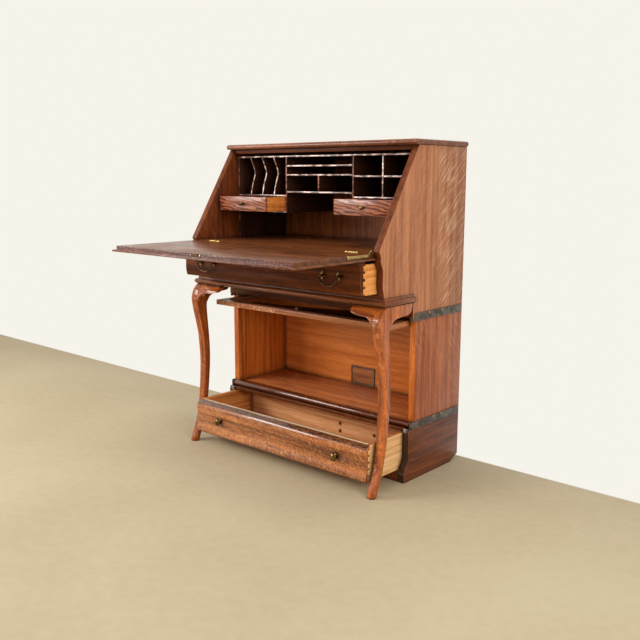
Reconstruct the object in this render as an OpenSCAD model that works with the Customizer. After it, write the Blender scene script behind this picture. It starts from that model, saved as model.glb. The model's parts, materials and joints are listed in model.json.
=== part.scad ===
// Drop-front secretary desk on a sectional bookcase with a receding glass door,
// a drawer base and two cabriole front legs.
// Outlines are written as [depth, height]: depth is measured forward from the
// rear plane, height from the floor. X is measured from the centre line.

/* [Case] */
// Overall width across the sides
case_w = 864; // [800:1:940]
// Thickness of every side board
side_t = 24; // [20:1:28]
// Thickness of the back panels
back_t = 8; // [6:1:11]
// How far the back panels are let in from the rear edge
back_inset = 4; // [2:1:8]

/* [Base] */
// Height of the drawer base
base_h = 178; // [160:1:200]
// Greatest depth of the base, at the foot of its front
base_d = 326; // [310:1:345]
// How far the front of the base falls back above its foot
base_relief = 23; // [18:1:28]
// Height of the plinth rail, which the drawer runners stand level with
plinth_h = 40; // [30:1:46]
// Thickness of the plinth rail
plinth_t = 18; // [14:1:22]
// Thickness of the rail over the drawer
base_rail_t = 11; // [8:1:20]
// Width of that rail
base_rail_w = 40; // [30:1:60]
// Width of a drawer runner
runner_w = 22; // [16:1:30]
// Height of a drawer runner
runner_h = 14; // [10:1:18]
// Length of the bevel that clears a skirting board at the rear foot
skirting_bevel_d = 48; // [30:1:60]
// Height of that bevel
skirting_bevel_h = 22; // [14:1:40]

/* [Bookcase] */
// Height of the bookcase section
bookcase_h = 369; // [345:1:400]
// Depth of the bookcase section
bookcase_d = 274; // [255:1:285]
// Thickness of the bookcase floor
shelf_t = 19; // [16:1:22]
// How far the half-round nosing stands out of the bookcase
nosing_reach = 16; // [13:1:22]
// How far the nosing runs past the inner face of each side
nosing_lap = 12; // [6:1:18]
// How far the nosing rises above the floor
nosing_rise = 2.5; // [1:0.5:5]

/* [Receding door] */
// Thickness of the door frame
door_t = 18; // [15:1:20]
// Height of the door, which is its length when slid in
door_l = 332; // [310:1:345]
// Width of the door's stiles and rails
door_rail_w = 30; // [24:1:38]
// Thickness of the glass
glass_t = 3; // [2.5:0.5:4]
// Depth of the door's front edge when slid in
door_front_d = 388; // [380:1:396]
// Space between the door and the case above it
door_head = 13; // [12:0.5:16]
// Width of the guide strips that the door runs on
guide_w = 12; // [9:1:16]
// Height of the guide strips
guide_h = 12; // [9:1:16]
// Thickness of the stops that the lowered door closes on
stop_t = 9; // [6:1:12]

/* [Desk] */
// Height of the desk section
desk_h = 544; // [530:1:570]
// Depth of the desk at the top of its sides
desk_top_d = 278; // [265:1:290]
// Depth of the lower front of the desk, behind the legs
desk_low_d = 292; // [286:1:298]
// Height of the writing surface
writing_h = 764; // [755:1:780]
// Thickness of the writing floor
floor_t = 19.5; // [16:0.5:21]
// Depth of the hinge line of the fall
hinge_d = 465; // [455:1:475]
// How far the shaped front edge falls back below the hinge line
desk_relief = 18; // [12:1:20]
// Thickness of the top
cap_t = 18; // [15:1:22]
// How far the top stands out beyond the front of the sides
cap_front = 20; // [17:1:24]
// How far the top stands out beyond each side
cap_side = 5; // [3:1:9]
// Height of the rail under the top
top_rail_h = 14; // [11:1:16]
// Thickness of that rail
top_rail_t = 18; // [14:1:24]
// Thickness of the board under the desk drawer
bed_t = 13; // [11:1:16]
// Thickness of the board that closes the desk below
under_t = 8; // [6:1:12]
// Thickness of the lower front rail
low_rail_t = 20; // [16:1:24]

/* [Fall front] */
// Whole thickness of the fall
fall_t = 19; // [17.5:0.5:21]
// How far the lip stands out past the panel at the free edge
lip_w = 10; // [8:1:13]
// How far the lip laps over the edge of each side
lip_lap = 8; // [6:1:12]
// Length of each hinge
hinge_l = 50; // [40:1:64]
// Width of one hinge leaf
hinge_leaf_w = 19; // [15:1:24]
// Distance of the hinges from the centre line
hinge_x = 318; // [290:1:340]

/* [Moulding and legs] */
// Height of the legs, up to the underside of the moulding
leg_h = 600; // [590:1:606]
// Thickness of the boards that the legs are cut from
leg_t = 32; // [28:1:35]
// Depth of the front of the leg at its slimmest, the shin
shin_d = 443.5; // [440:0.5:448]
// How far the foot stands forward of the shin
foot_reach = 61.5; // [50:0.5:70]
// How far the knee stands forward of the shin
knee_reach = 33.5; // [26:0.5:40]
// Height of the moulding under the desk
moulding_h = 27; // [24:1:30]
// How far the front of the moulding stands out past the shin
moulding_front = 14.5; // [10:0.5:18]
// Width of the moulding at its mitres
moulding_w = 25; // [20:1:32]
// How far the moulding stands out beyond each side
moulding_out = 14; // [10:1:17]
// How far each front bracket reaches inward from its leg
bracket_l = 98; // [85:1:115]
// Thickness of the front brackets
bracket_t = 24; // [20:1:28]

/* [Nest] */
// Thickness of the boards of the nest
nest_t = 6; // [5:0.5:8]
// Thickness of the end panels of the nest
nest_end_t = 8; // [6:1:10]
// Depth of the front of the nest
nest_d = 263; // [250:1:268]
// Space between the nest and the top of the case
nest_head = 24; // [20:1:34]
// Half-distance between the two inner partitions
nest_mid_x = 155; // [140:1:170]
// Height of the space under the small drawers
knee_space_h = 99; // [90:1:106]
// Height inside a small drawer bay
small_bay_h = 52.5; // [48:0.5:56]
// Height of the lowest centre shelf, as a share of the nest's height
centre_shelf_1 = 0.577; // [0.54:0.001:0.6]
// Height of the middle centre shelf, as a share of the nest's height
centre_shelf_2 = 0.7795; // [0.74:0.0005:0.8]
// Height of the upper centre shelf, as a share of the nest's height
centre_shelf_3 = 0.887; // [0.86:0.001:0.92]
// Height of the right-hand shelf, as a share of the nest's height
right_shelf = 0.764; // [0.7:0.001:0.8]
// How far the shaped dividers are hollowed
divider_hollow = 22; // [14:1:30]

/* [Desk drawer] */
// Thickness of the desk drawer front
desk_front_t = 20; // [16:1:23]
// Length of the desk drawer, front included
desk_drawer_l = 430; // [400:1:440]
// How far the desk drawer stands open at rest
desk_open = 74; // [0:1:200]

/* [Base drawer] */
// Greatest thickness of the base drawer front
base_front_t = 21; // [18:1:24]
// How far its beads stand out past the front of the base when shut
base_bead = 3; // [1:1:5]
// Length of the base drawer behind its front
base_box_l = 267; // [250:1:272]
// How far the base drawer stands open at rest
base_open = 190; // [0:1:200]

/* [Drawer boards] */
// Thickness of the sides, backs and inner fronts of the two wide drawers
drawer_wall_t = 12; // [10:1:14]
// Thickness of the bottoms of the two wide drawers
drawer_bottom_t = 7; // [5:1:9]
// Length of the dovetails that join their sides to their fronts
tail_l = 8; // [6:1:10]

/* [Small drawers] */
// Thickness of a small drawer front
small_front_t = 9; // [7:1:12]
// Thickness of the walls of a small drawer
small_wall_t = 6; // [4:1:8]
// Thickness of the bottom of a small drawer
small_bottom_t = 4; // [3:0.5:6]
// Whole length of a small drawer
small_drawer_l = 242; // [225:1:244]
// How far the small drawers stand open at rest
small_open = 103; // [0:1:103]
// Radius of the knob of a small drawer
small_knob_r = 7; // [5:0.5:9]
// How far that knob stands out
small_knob_l = 12; // [9:0.5:12]

/* [Pulls, knobs and straps] */
// Distance between the two posts of a pull
pull_w = 67; // [60:1:72]
// Distance of the pulls from the centre line
pull_x = 287; // [250:1:310]
// Radius of the bail
bail_r = 2.3; // [1.8:0.1:2.8]
// Drop of the grip of a bail below its pivots
bail_drop = 31; // [27:1:36]
// How far the pivots of a bail stand out from the drawer front
bail_stand = 13; // [12:0.5:16]
// Radius of the pivots of a bail
pivot_r = 1.6; // [1.2:0.1:1.8]
// Width and height of the lozenge plate under each post
lozenge_w = 28; // [22:1:32]
// Height of the pull posts over the board that the desk drawer runs on
desk_pull_h = 53.5; // [50:0.5:58]
// Height of the knobs of the base drawer over the floor
base_knob_h = 103; // [98:1:108]
// Distance of those knobs from the centre line
base_knob_x = 280; // [250:1:310]
// Radius of those knobs
base_knob_r = 13; // [10:0.5:16]
// How far those knobs stand out
base_knob_l = 21; // [17:0.5:26]
// Height of the steel straps
strap_h = 26; // [20:1:30]
// Thickness of the steel straps
strap_t = 2; // [1.5:0.5:3]
// Depth of the rear end of the straps
strap_rear = 6; // [4:1:30]
// Length of the straps
strap_l = 286; // [250:1:288]

/* [Clearances] */
// Running gap under a drawer or door
run_gap = 0.3; // [0.2:0.1:0.6]
// Gap at each end of a wide drawer
end_gap = 2.5; // [2:0.5:4]
// Gap at each end of the door and of the fall
swing_gap = 3; // [2.6:0.2:4]
// Gap between the lip of the closed fall and what it meets
lip_gap = 0.4; // [0.3:0.1:1]
// Gap over a wide drawer front
head_gap = 2; // [1:0.5:3]
// Gap round a small drawer
small_gap = 0.8; // [0.5:0.1:1.5]
// Gap between two pieces that are seated on each other
seat_gap = 0.3; // [0.2:0.1:0.5]
// Gap in a mitre of the moulding
mitre_gap = 0.2; // [0.1:0.05:0.3]
// Radial clearance of a hinge pin
pin_gap = 0.05; // [0.02:0.01:0.1]
// Radial clearance of a bail pivot, which hangs loose
pivot_gap = 0.1; // [0.05:0.01:0.1]

/* [Hidden] */
$fn = 48;

// Faces of the case
half = case_w / 2;
inner = half - side_t;
back_face = back_inset + back_t;

// Heights of the joints between the sections
bookcase_z = base_h;
desk_z = base_h + bookcase_h;
cap_z = desk_z + desk_h;
moulding_top = leg_h + moulding_h;
moulding_d = shin_d + moulding_front;
bed_top = moulding_top + bed_t;
floor_under = writing_h - floor_t;

// Slope of the sides, which the closed fall follows
nose_d = hinge_d + 10;
nose_z = writing_h + 8;
slope = atan2(nose_d - desk_top_d, cap_z - nose_z);
edge_offset = (nose_d - hinge_d + (nose_z - writing_h) * tan(slope)) * cos(slope);

// Fall: it swings up until its lip lies on the sloping edges, its length in whole millimetres
cap_r = cap_t / 2;
cap_nose_d = desk_top_d + cap_front - cap_r;
cap_reach = norm([hinge_d - cap_nose_d, cap_z + cap_r - writing_h]) - cap_r;
cap_clear = 2.8;
lip_l = floor(sqrt(pow(cap_reach - cap_clear, 2) - pow(fall_t, 2)));
fall_l = lip_l - lip_w;
rebate = edge_offset + lip_gap;
lip_start = 4;
fall_end_gap = 0.3;
fall_half = inner - swing_gap;
fall_reach = hinge_d + lip_l;

// The model's origin lies on the floor, below the middle of its depth
rear_y = fall_reach / 2;

// Colours of the finishes
OAK = "#8a4a26";
OAK_DARK = "#5a2c18";
OAK_SIDE = "#9a5f40";
OAK_WARM = "#a5602c";
ROSEWOOD = "#8c4f45";
PINE = "#c79a62";
BRASS = "#b08b45";
STEEL = "#4a4340";
GLASS = "#9db8b4";

// Turns [depth, height] points into the drawing plane of along_x
function drawn(points) = [for (p = points) [rear_y - p[0], p[1]]];

// Points of a smooth curve through the given points, steps per stretch
function between(a, b, c, d, t) =
    0.5 * (2 * b + (c - a) * t + (2 * a - 5 * b + 4 * c - d) * t * t
    + (3 * b - a - 3 * c + d) * t * t * t);
function smooth(p, steps) = concat(
    [for (i = [0:len(p) - 2], j = [0:steps - 1])
        between(p[max(i - 1, 0)], p[i], p[i + 1], p[min(i + 2, len(p) - 1)], j / steps)],
    [p[len(p) - 1]]);
function reversed(p) = [for (i = [len(p) - 1:-1:0]) p[i]];
function arc(centre, r, from, to, steps) =
    [for (i = [0:steps]) centre + r * [cos(from + (to - from) * i / steps),
                                       sin(from + (to - from) * i / steps)]];

// Board between two X, two depths and two heights
module board(x, depth, z)
    translate([x[0], rear_y - depth[1], z[0]])
        cube([x[1] - x[0], depth[1] - depth[0], z[1] - z[0]]);

// Outline of [depth, height] points, extruded between two X
module along_x(x, points)
    translate([x[0], 0, 0]) rotate([90, 0, 90])
        linear_extrude(x[1] - x[0]) polygon(drawn(points));

// Outline of [x, height] points, extruded between two depths
module along_depth(depth, points)
    translate([0, rear_y - depth[0], 0]) rotate([90, 0, 0])
        linear_extrude(depth[1] - depth[0]) polygon(points);

// Outline of [x, depth] points, extruded between two heights
module upward(z, points)
    translate([0, 0, z[0]])
        linear_extrude(z[1] - z[0]) polygon([for (p = points) [p[0], rear_y - p[1]]]);

// Round bar along X
module bar_x(x, depth, z, r)
    translate([x[0], rear_y - depth, z]) rotate([0, 90, 0]) cylinder(r = r, h = x[1] - x[0]);

// Round bar along the depth
module bar_depth(x, depth, z, r)
    translate([x, rear_y - depth[0], z]) rotate([90, 0, 0]) cylinder(r = r, h = depth[1] - depth[0]);

// The same piece on the left and on the right
module both() {
    children();
    mirror([1, 0, 0]) children();
}

// Fronts of the carcase: curves of the desk and of the base

// Desk: [part of the height from moulding to writing surface, share of the relief]
DESK_OGEE = [[0, -1], [0.131, -0.78], [0.241, -0.585], [0.321, -0.555], [0.533, -0.585],
    [0.635, -0.555], [0.73, -0.22], [0.832, 0.11], [0.905, 0.055], [0.985, 0.22]];
desk_waist = 0.585 * desk_relief;
desk_ogee = smooth([for (k = DESK_OGEE)
    [hinge_d + k[1] * desk_relief, moulding_top + k[0] * (writing_h - moulding_top)]], 4);

// Ends of the base: [part of the base height, share of the relief]
BASE_END = [[0, -0.035], [0.067, 0], [0.146, -0.005], [0.219, -0.122], [0.275, -0.304],
    [0.32, -0.53], [0.365, -0.748], [0.41, -0.9], [0.46, -0.978], [0.534, -1], [0.9, -1],
    [0.955, -1.065], [1, -1.15]];
base_edge = smooth([for (k = BASE_END) [base_d + k[1] * base_relief, k[0] * base_h]], 4);
base_plumb_d = base_d - base_relief;

// Desk section

nose_flat = 2;
module desk_side(x)
    color(OAK_SIDE) along_x(x, concat(
        [[0, desk_z], [0, cap_z], [desk_top_d, cap_z],
            [nose_d - nose_flat * sin(slope), nose_z + nose_flat * cos(slope)],
            [nose_d, nose_z - nose_flat]],
        reversed(desk_ogee),
        [[desk_low_d, moulding_top], [desk_low_d, desk_z]]));

module desk_side_left() desk_side([-half, -inner]);
module desk_side_right() desk_side([inner, half]);

// The top has a half-round edge at the front and at both ends
module desk_top() {
    end_x = half + cap_side - cap_r;
    color(OAK) {
        board([-end_x, end_x], [0, cap_nose_d], [cap_z, cap_z + cap_t]);
        bar_x([-end_x, end_x], cap_nose_d, cap_z + cap_r, cap_r);
        both() {
            bar_depth(end_x, [0, cap_nose_d], cap_z + cap_r, cap_r);
            translate([end_x, rear_y - cap_nose_d, cap_z + cap_r]) sphere(r = cap_r);
        }
    }
}

rail_set_back = 0.5;
module top_rail()
    color(OAK) board([-inner, inner],
        [desk_top_d - rail_set_back - top_rail_t, desk_top_d - rail_set_back],
        [cap_z - top_rail_h, cap_z]);

module desk_back()
    color(OAK_DARK) board([-inner, inner], [back_inset, back_face], [desk_z + under_t, cap_z]);

module lower_board()
    color(OAK_DARK) board([-inner, inner], [back_inset, desk_low_d - low_rail_t],
        [desk_z, desk_z + under_t]);

module lower_front_rail()
    color(OAK_DARK) board([-inner, inner], [desk_low_d - low_rail_t, desk_low_d],
        [desk_z, moulding_top]);

bed_front = hinge_d - 19;
module drawer_bed()
    color(OAK_DARK) board([-inner, inner], [back_face, bed_front], [moulding_top, bed_top]);

module writing_floor()
    color(OAK_DARK) difference() {
        board([-inner, inner], [back_face, hinge_d - fall_end_gap], [floor_under, writing_h]);
        both() hinge_mortise(-1);
    }

// Moulding under the desk: a rounded band with a hollow above it, mitred at the corners
band_h = moulding_h * 0.7;
band_bulge = 10;
hollow = 3;
function moulding_profile(out, back) = concat(
    [[back, leg_h]],
    [for (p = arc([0, 0], 1, -90, 90, 8))
        [out - band_bulge * (1 - p[0]), leg_h + band_h * (1 + p[1]) / 2]],
    [for (p = arc([1, 0], 1, 180, 90, 6))
        [out - band_bulge - 0.5 - hollow * p[0] * 0.6,
            leg_h + band_h + (moulding_h - band_h) * p[1]]],
    [[back, moulding_top]]);

// Three lengths that meet at mitres: one in front and one at each side
module desk_moulding() {
    out_x = half + moulding_out;
    mitre_x = out_x - moulding_w;
    back = moulding_d - moulding_w;
    rear_d = desk_low_d + seat_gap;
    z = [leg_h - 1, moulding_top + 1];
    color(OAK) {
        intersection() {
            along_x([-out_x, out_x], moulding_profile(moulding_d, back));
            upward(z, [[mitre_gap - mitre_x, back], [mitre_gap - out_x, moulding_d],
                [mitre_gap - out_x, moulding_d + 1], [out_x - mitre_gap, moulding_d + 1],
                [out_x - mitre_gap, moulding_d], [mitre_x - mitre_gap, back]]);
        }
        both() intersection() {
            along_depth([rear_d, moulding_d], moulding_profile(out_x, inner));
            upward(z, [[inner, rear_d - 1], [inner, back - mitre_gap],
                [mitre_x, back - mitre_gap], [out_x, moulding_d - mitre_gap],
                [out_x + 1, moulding_d - mitre_gap], [out_x + 1, rear_d - 1]]);
        }
    }
}

// Legs

// [part of the leg height, share of the foot's reach, share of the knee's reach, thickness]
LEG = [[0, 1, 0, 0.938], [0.065, 0.74, 0, 0.829], [0.145, 0.43, 0, 0.752],
    [0.273, 0.187, 0, 0.766], [0.4, 0.065, 0, 0.781], [0.53, 0, 0, 0.781], [0.65, 0, 0.12, 0.813],
    [0.717, 0, 0.3, 0.906], [0.78, 0, 0.56, 1.078], [0.833, 0, 0.79, 1.234]];
// Front of the knee above the last station, as [part of the height, share of the knee's reach]
KNEE = [[0.833, 0.79], [0.883, 0.955], [0.908, 1], [0.933, 0.925], [0.95, 0.82],
    [0.967, 0.67], [0.983, 0.4], [1, 0.105]];
// Underside of the side bracket, as [part of the height, part of the way from case to shin]
BRACKET = [[0.992, 0.119], [0.968, 0.139], [0.952, 0.185], [0.941, 0.271], [0.935, 0.587],
    [0.927, 0.726], [0.915, 0.805], [0.897, 0.865], [0.875, 0.911], [0.833, 0.914]];

leg_set = 2;
leg_in = inner + leg_set;
leg_out = leg_in + leg_t;
foot_round = 0.6;
ring_corner = 5;
knee = smooth([for (k = KNEE) [shin_d + k[1] * knee_reach, k[0] * leg_h]], 4);
bracket_edge = smooth([for (k = BRACKET)
    [desk_low_d + k[1] * (shin_d - desk_low_d), k[0] * leg_h]], 4);
leg_rings = smooth([for (k = LEG)
    [k[0], k[1] * foot_reach + k[2] * knee_reach, k[3] * leg_t]], 4);

// Edge radius of the leg: slight above, growing to a round foot
function edge_r(part, t) =
    let (k = max(0, 1 - part / foot_round)) 1.2 + (min(t, leg_t) / 2 - 1.3) * pow(k, 0.8);

function leg_ring(s) =
    let (r = edge_r(s[0], s[2]),
         cx = (leg_in + leg_out) / 2,
         cy = rear_y - (shin_d + s[1] - s[2] / 2),
         dx = leg_t / 2 - r,
         dy = s[2] / 2 - r)
    [for (c = [0:3], k = [0:ring_corner])
        [cx + (c == 0 || c == 3 ? dx : -dx) + r * cos(c * 90 + k * 90 / ring_corner),
         cy + (c < 2 ? dy : -dy) + r * sin(c * 90 + k * 90 / ring_corner),
         s[0] * leg_h]];

module leg() {
    n = 4 * (ring_corner + 1);
    rings = len(leg_rings);
    skin = [for (i = [0:rings - 2], k = [0:n - 1])
        each [[i * n + k, i * n + (k + 1) % n, (i + 1) * n + (k + 1) % n],
              [i * n + k, (i + 1) * n + (k + 1) % n, (i + 1) * n + k]]];
    ends = [[for (k = [n - 1:-1:0]) k], [for (k = [0:n - 1]) (rings - 1) * n + k]];
    polyhedron(points = [for (s = leg_rings) each leg_ring(s)],
        faces = [for (f = concat(skin, ends)) reversed(f)], convexity = 6);
    along_x([leg_in, leg_out], concat(knee, [[bracket_edge[0][0], leg_h]], bracket_edge));
}

module leg_left() color(OAK_WARM) mirror([1, 0, 0]) leg();
module leg_right() color(OAK_WARM) leg();

// Front brackets: glued to the inner face of each leg, shaped in front like the knee
BRACKET_UNDER = [[0, 0.893], [0.04, 0.908], [0.08, 0.92], [0.143, 0.931], [0.214, 0.94],
    [0.306, 0.947], [0.48, 0.9485], [0.745, 0.9525], [0.908, 0.959], [0.975, 0.967], [1, 0.975],
    [0.985, 0.988], [0.92, 1]];
module front_brackets() {
    under = smooth([for (k = BRACKET_UNDER) [leg_in - k[0] * bracket_l, k[1] * leg_h]], 4);
    color(OAK_WARM) both() intersection() {
        along_x([leg_in - bracket_l - 5, leg_in],
            concat(knee, reversed([for (p = knee) p - [bracket_t, 0]])));
        along_depth([shin_d - bracket_t, shin_d + 2 * knee_reach], concat([[leg_in, leg_h]], under));
    }
}

// Nest of pigeonholes

nest_top_z = cap_z - nest_head;
nest_inner = inner - nest_end_t;
bay_floor = writing_h + knee_space_h;
bay_z = bay_floor + nest_t;
bay_top = bay_z + small_bay_h;
cells_z = bay_top + nest_t;
cells_top = nest_top_z - nest_t;
right_mid_x = (nest_mid_x + nest_t / 2 + nest_inner) / 2;
nest_back = back_face;

// Height of a shelf that is given as a share of the nest's height, in half millimetres
function shelf_z(share) = writing_h + round(2 * share * (cells_top - writing_h)) / 2;

module nest_top()
    color(OAK) board([-inner, inner], [nest_back, nest_d], [cells_top, nest_top_z]);

module nest_ends()
    color(OAK) both() board([nest_inner, inner], [nest_back, nest_d], [writing_h, cells_top]);

module nest_partitions()
    color(OAK) both() board([nest_mid_x - nest_t / 2, nest_mid_x + nest_t / 2],
        [nest_back, nest_d], [bay_floor, cells_top]);

module nest_side_shelves()
    color(OAK) both() {
        board([nest_mid_x + nest_t / 2, nest_inner], [nest_back, nest_d], [bay_floor, bay_z]);
        board([nest_mid_x + nest_t / 2, nest_inner], [nest_back, nest_d], [bay_top, cells_z]);
    }

// Finger hollow cut into the front edge of a shelf
finger_w = 60;
finger_deep = 9;
module finger_hollow(x, z, w, deep) {
    r = (w * w / 4 + deep * deep) / (2 * deep);
    translate([x, rear_y - nest_d - r + deep, z - 1]) cylinder(r = r, h = nest_t + 2, $fn = 96);
}

module centre_shelf(z, holes, w, deep) {
    x = nest_mid_x - nest_t / 2;
    difference() {
        board([-x, x], [nest_back, nest_d], [z, z + nest_t]);
        for (hole = holes) finger_hollow(hole, z, w, deep);
    }
}

module nest_centre_divider()
    color(OAK) board([-nest_t / 2, nest_t / 2], [nest_back, nest_d],
        [shelf_z(centre_shelf_1) + nest_t, shelf_z(centre_shelf_2)]);

module nest_centre_shelves()
    color(OAK) {
        centre_shelf(shelf_z(centre_shelf_1), [], 0, 0);
        centre_shelf(shelf_z(centre_shelf_2), [-nest_mid_x / 2, nest_mid_x / 2],
            finger_w, finger_deep);
        centre_shelf(shelf_z(centre_shelf_3), [0], finger_w * 0.77, finger_deep * 0.78);
    }

// Three dividers with an ogee front edge stand in the left bay
module nest_shaped_dividers() {
    h = cells_top - cells_z;
    front = smooth([for (k = [[0, 0], [0.08, -0.12], [0.25, -0.35], [0.42, -0.72], [0.57, -1],
        [0.72, -0.78], [0.88, -0.3], [1, 0]])
        [nest_d - 1 + k[1] * divider_hollow, cells_z + k[0] * h]], 4);
    left = nest_mid_x + nest_t / 2;
    pitch = (nest_inner - left) / 4;
    color(OAK) for (i = [1:3])
        along_x([-left - i * pitch - nest_t / 2, -left - i * pitch + nest_t / 2],
            concat([[nest_back, cells_z]], front, [[nest_back, cells_top]]));
}

// The right bay is divided crosswise into four cells
module nest_right_cells() {
    z = shelf_z(right_shelf);
    left = nest_mid_x + nest_t / 2;
    spans = [[left, right_mid_x - nest_t / 2], [right_mid_x + nest_t / 2, nest_inner]];
    color(OAK) {
        board([right_mid_x - nest_t / 2, right_mid_x + nest_t / 2], [nest_back, nest_d - 0.5],
            [cells_z, cells_top]);
        for (x = spans) difference() {
            board(x, [nest_back, nest_d], [z, z + nest_t]);
            finger_hollow((x[0] + x[1]) / 2, z, finger_w * 0.83, finger_deep * 0.89);
        }
    }
}

// Fall front

knuckle_r = 2.6;
knuckle_clear = 0.4;
leaf_t = 1.6;
hinge_pin_r = 1.1;
knuckles = 5;

// Space cut for one hinge: way is -1 toward the rear, 1 toward the front
module hinge_mortise(way) {
    x = [hinge_x - hinge_l / 2, hinge_x + hinge_l / 2];
    depth = way < 0 ? [hinge_d - hinge_leaf_w, hinge_d] : [hinge_d, hinge_d + hinge_leaf_w];
    board(x, depth, [writing_h - leaf_t, writing_h + 1]);
    bar_x(x, hinge_d, writing_h, knuckle_r + knuckle_clear);
}

// One leaf with its share of the knuckles
module hinge_leaf(way) {
    step = hinge_l / knuckles;
    first = hinge_x - hinge_l / 2;
    side_gap = 0.15;
    mine = [for (i = [0:knuckles - 1]) if (i % 2 == (way < 0 ? 0 : 1)) i];
    others = [for (i = [0:knuckles - 1]) if (i % 2 == (way < 0 ? 1 : 0)) i];
    depth = way < 0 ? [hinge_d - hinge_leaf_w, hinge_d] : [hinge_d, hinge_d + hinge_leaf_w];
    difference() {
        union() {
            board([first, first + hinge_l], depth, [writing_h - leaf_t, writing_h]);
            for (i = mine)
                bar_x([first + i * step, first + (i + 1) * step], hinge_d, writing_h, knuckle_r);
        }
        for (i = others)
            bar_x([first + i * step - side_gap, first + (i + 1) * step + side_gap],
                hinge_d, writing_h, knuckle_r + knuckle_clear);
        if (way > 0)
            bar_x([first, first + hinge_l], hinge_d, writing_h, hinge_pin_r + pin_gap);
    }
    if (way < 0)
        bar_x([first, first + hinge_l], hinge_d, writing_h, hinge_pin_r);
}

module floor_hinge_leaves() color(BRASS) both() hinge_leaf(-1);
module fall_hinge_leaves() color(BRASS) both() hinge_leaf(1);

lock_l = 56;
lock_h = 9;
lock_t = 1.5;
module lock_body(z_top)
    board([-lock_l / 2, lock_l / 2], [hinge_d + fall_l - lock_t, hinge_d + fall_l],
        [writing_h - lock_h - 1.5, z_top]);

module lock_plate() color(BRASS) lock_body(writing_h - 1.5);

lip_r = 2.5;
module fall_panel() {
    under = writing_h - fall_t;
    lip_top = writing_h - rebate;
    lip_half = inner + lip_lap;
    edge = hinge_d + lip_l;
    color(OAK_DARK) difference() {
        union() {
            board([-fall_half, fall_half], [hinge_d + fall_end_gap, hinge_d + fall_l],
                [under, writing_h]);
            along_x([-lip_half, lip_half], concat(
                [[hinge_d + lip_start, under], [hinge_d + lip_start, lip_top], [edge - lip_r, lip_top]],
                arc([edge - lip_r, lip_top - lip_r], lip_r, 90, 0, 5),
                [[edge, under]]));
        }
        both() hinge_mortise(1);
        lock_body(writing_h - 1.5);
    }
}

// Brass stay along the right edge of the fall: a swivel boss and a cranked arm
stay_t = 2;
stay_boss = 124;
stay_crank = 29;
module lid_stay() {
    x = [fall_half, fall_half + stay_t];
    z = writing_h - 4;
    boss_d = hinge_d + stay_boss;
    crank_d = hinge_d + stay_crank;
    tip = [hinge_d + 13, writing_h + 8];
    color(BRASS) {
        bar_x(x, boss_d, z, 6);
        board(x, [crank_d, boss_d], [z - 4, z + 4]);
        along_x(x, [[crank_d, z - 4], [crank_d, z + 4], tip + [3, 2.5], tip - [3, 2.5]]);
        bar_x(x, tip[0], tip[1], 3.9);
    }
}

// Pulls of the desk drawer

head_r = 5;
lozenge_t = 2;
boss_r = 7;
shank_r = 2.5;
nut_r = 6;
nut_t = 3;
arm_gap = 0.8;
pivot_in = 3;
bail_reach = pull_w / 2 + head_r + arm_gap + bail_r;
grip_extra = 0.7;
pivot_bead = 0.4;

// A bail is part of a ring whose centre lies above its pivots
bail_ring_r = (pow(bail_reach, 2) + pow(bail_drop, 2)) / (2 * bail_drop);
bail_rise = bail_ring_r - bail_drop;
bail_tilt = asin(bail_rise / bail_ring_r);

// Shanks through a drawer front, at the given distances from the centre line
module shanks(xs, front, z, through)
    both() for (x = xs) bar_depth(x, [front - through, front], z, shank_r);

// One post on its own axis, with the blind bore for the bail on its +X side
module pull_post(through)
    difference() {
        rotate([90, 0, 0]) union() {
            linear_extrude(lozenge_t) circle(r = lozenge_w / 2, $fn = 4);
            cylinder(r = boss_r, h = 2 * lozenge_t);
            translate([0, 0, -through - nut_t]) cylinder(r = shank_r, h = through + nut_t + bail_stand);
            translate([0, 0, -through - nut_t]) cylinder(r = nut_r, h = nut_t);
            translate([0, 0, bail_stand]) rotate([0, 0, 45]) sphere(r = head_r);
        }
        translate([-pivot_in, -bail_stand, 0]) rotate([0, 90, 0])
            cylinder(r = pivot_r + pivot_gap, h = pivot_in + head_r + 1);
    }

module pull_posts(front, z, through)
    both() {
        translate([pull_xs[1], rear_y - front, z]) pull_post(through);
        translate([pull_xs[0], rear_y - front, z]) mirror([1, 0, 0]) pull_post(through);
    }

// Part of the ring, its centre at height z, from one angle over a sweep
module ring_part(z, from, sweep, bar_r)
    rotate([90, 0, 0]) translate([0, z, 0]) rotate([0, 0, from])
        rotate_extrude(angle = sweep, $fn = 96) translate([bail_ring_r, 0]) circle(r = bar_r);

// A bail hangs between two pivots that turn in the posts, and its grip is thicker
module bail(cx, front, z)
    translate([cx, rear_y - front - bail_stand, z]) {
        for (end = [-1, 1]) {
            translate([end * bail_reach, 0, 0]) rotate([0, -end * 90, 0])
                cylinder(r = pivot_r, h = bail_reach - pull_w / 2 + pivot_in - 0.5);
            translate([end * bail_reach, 0, 0]) sphere(r = bail_r + pivot_bead);
        }
        ring_part(bail_rise, 180 + bail_tilt, 180 - 2 * bail_tilt, bail_r);
        ring_part(bail_rise, 240, 60, bail_r + grip_extra);
    }

// Knob turned about the depth, with its foot on the front face
module turned_knob(x, front, z, r, l)
    translate([x, rear_y - front, z]) rotate([90, 0, 0]) rotate_extrude()
        polygon(concat([[0, 0], [r * 0.72, 0], [r * 0.72, l * 0.1], [r * 0.38, l * 0.2],
            [r * 0.36, l * 0.4]],
            [for (i = [0:8]) [r * sin(25 + i * 65 / 8), l * 0.72 - l * 0.3 * cos(25 + i * 65 / 8)]],
            [for (i = [1:7]) [r * cos(i * 90 / 8), l * 0.72 + l * 0.28 * sin(i * 90 / 8)]],
            [[0, l]]));

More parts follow.
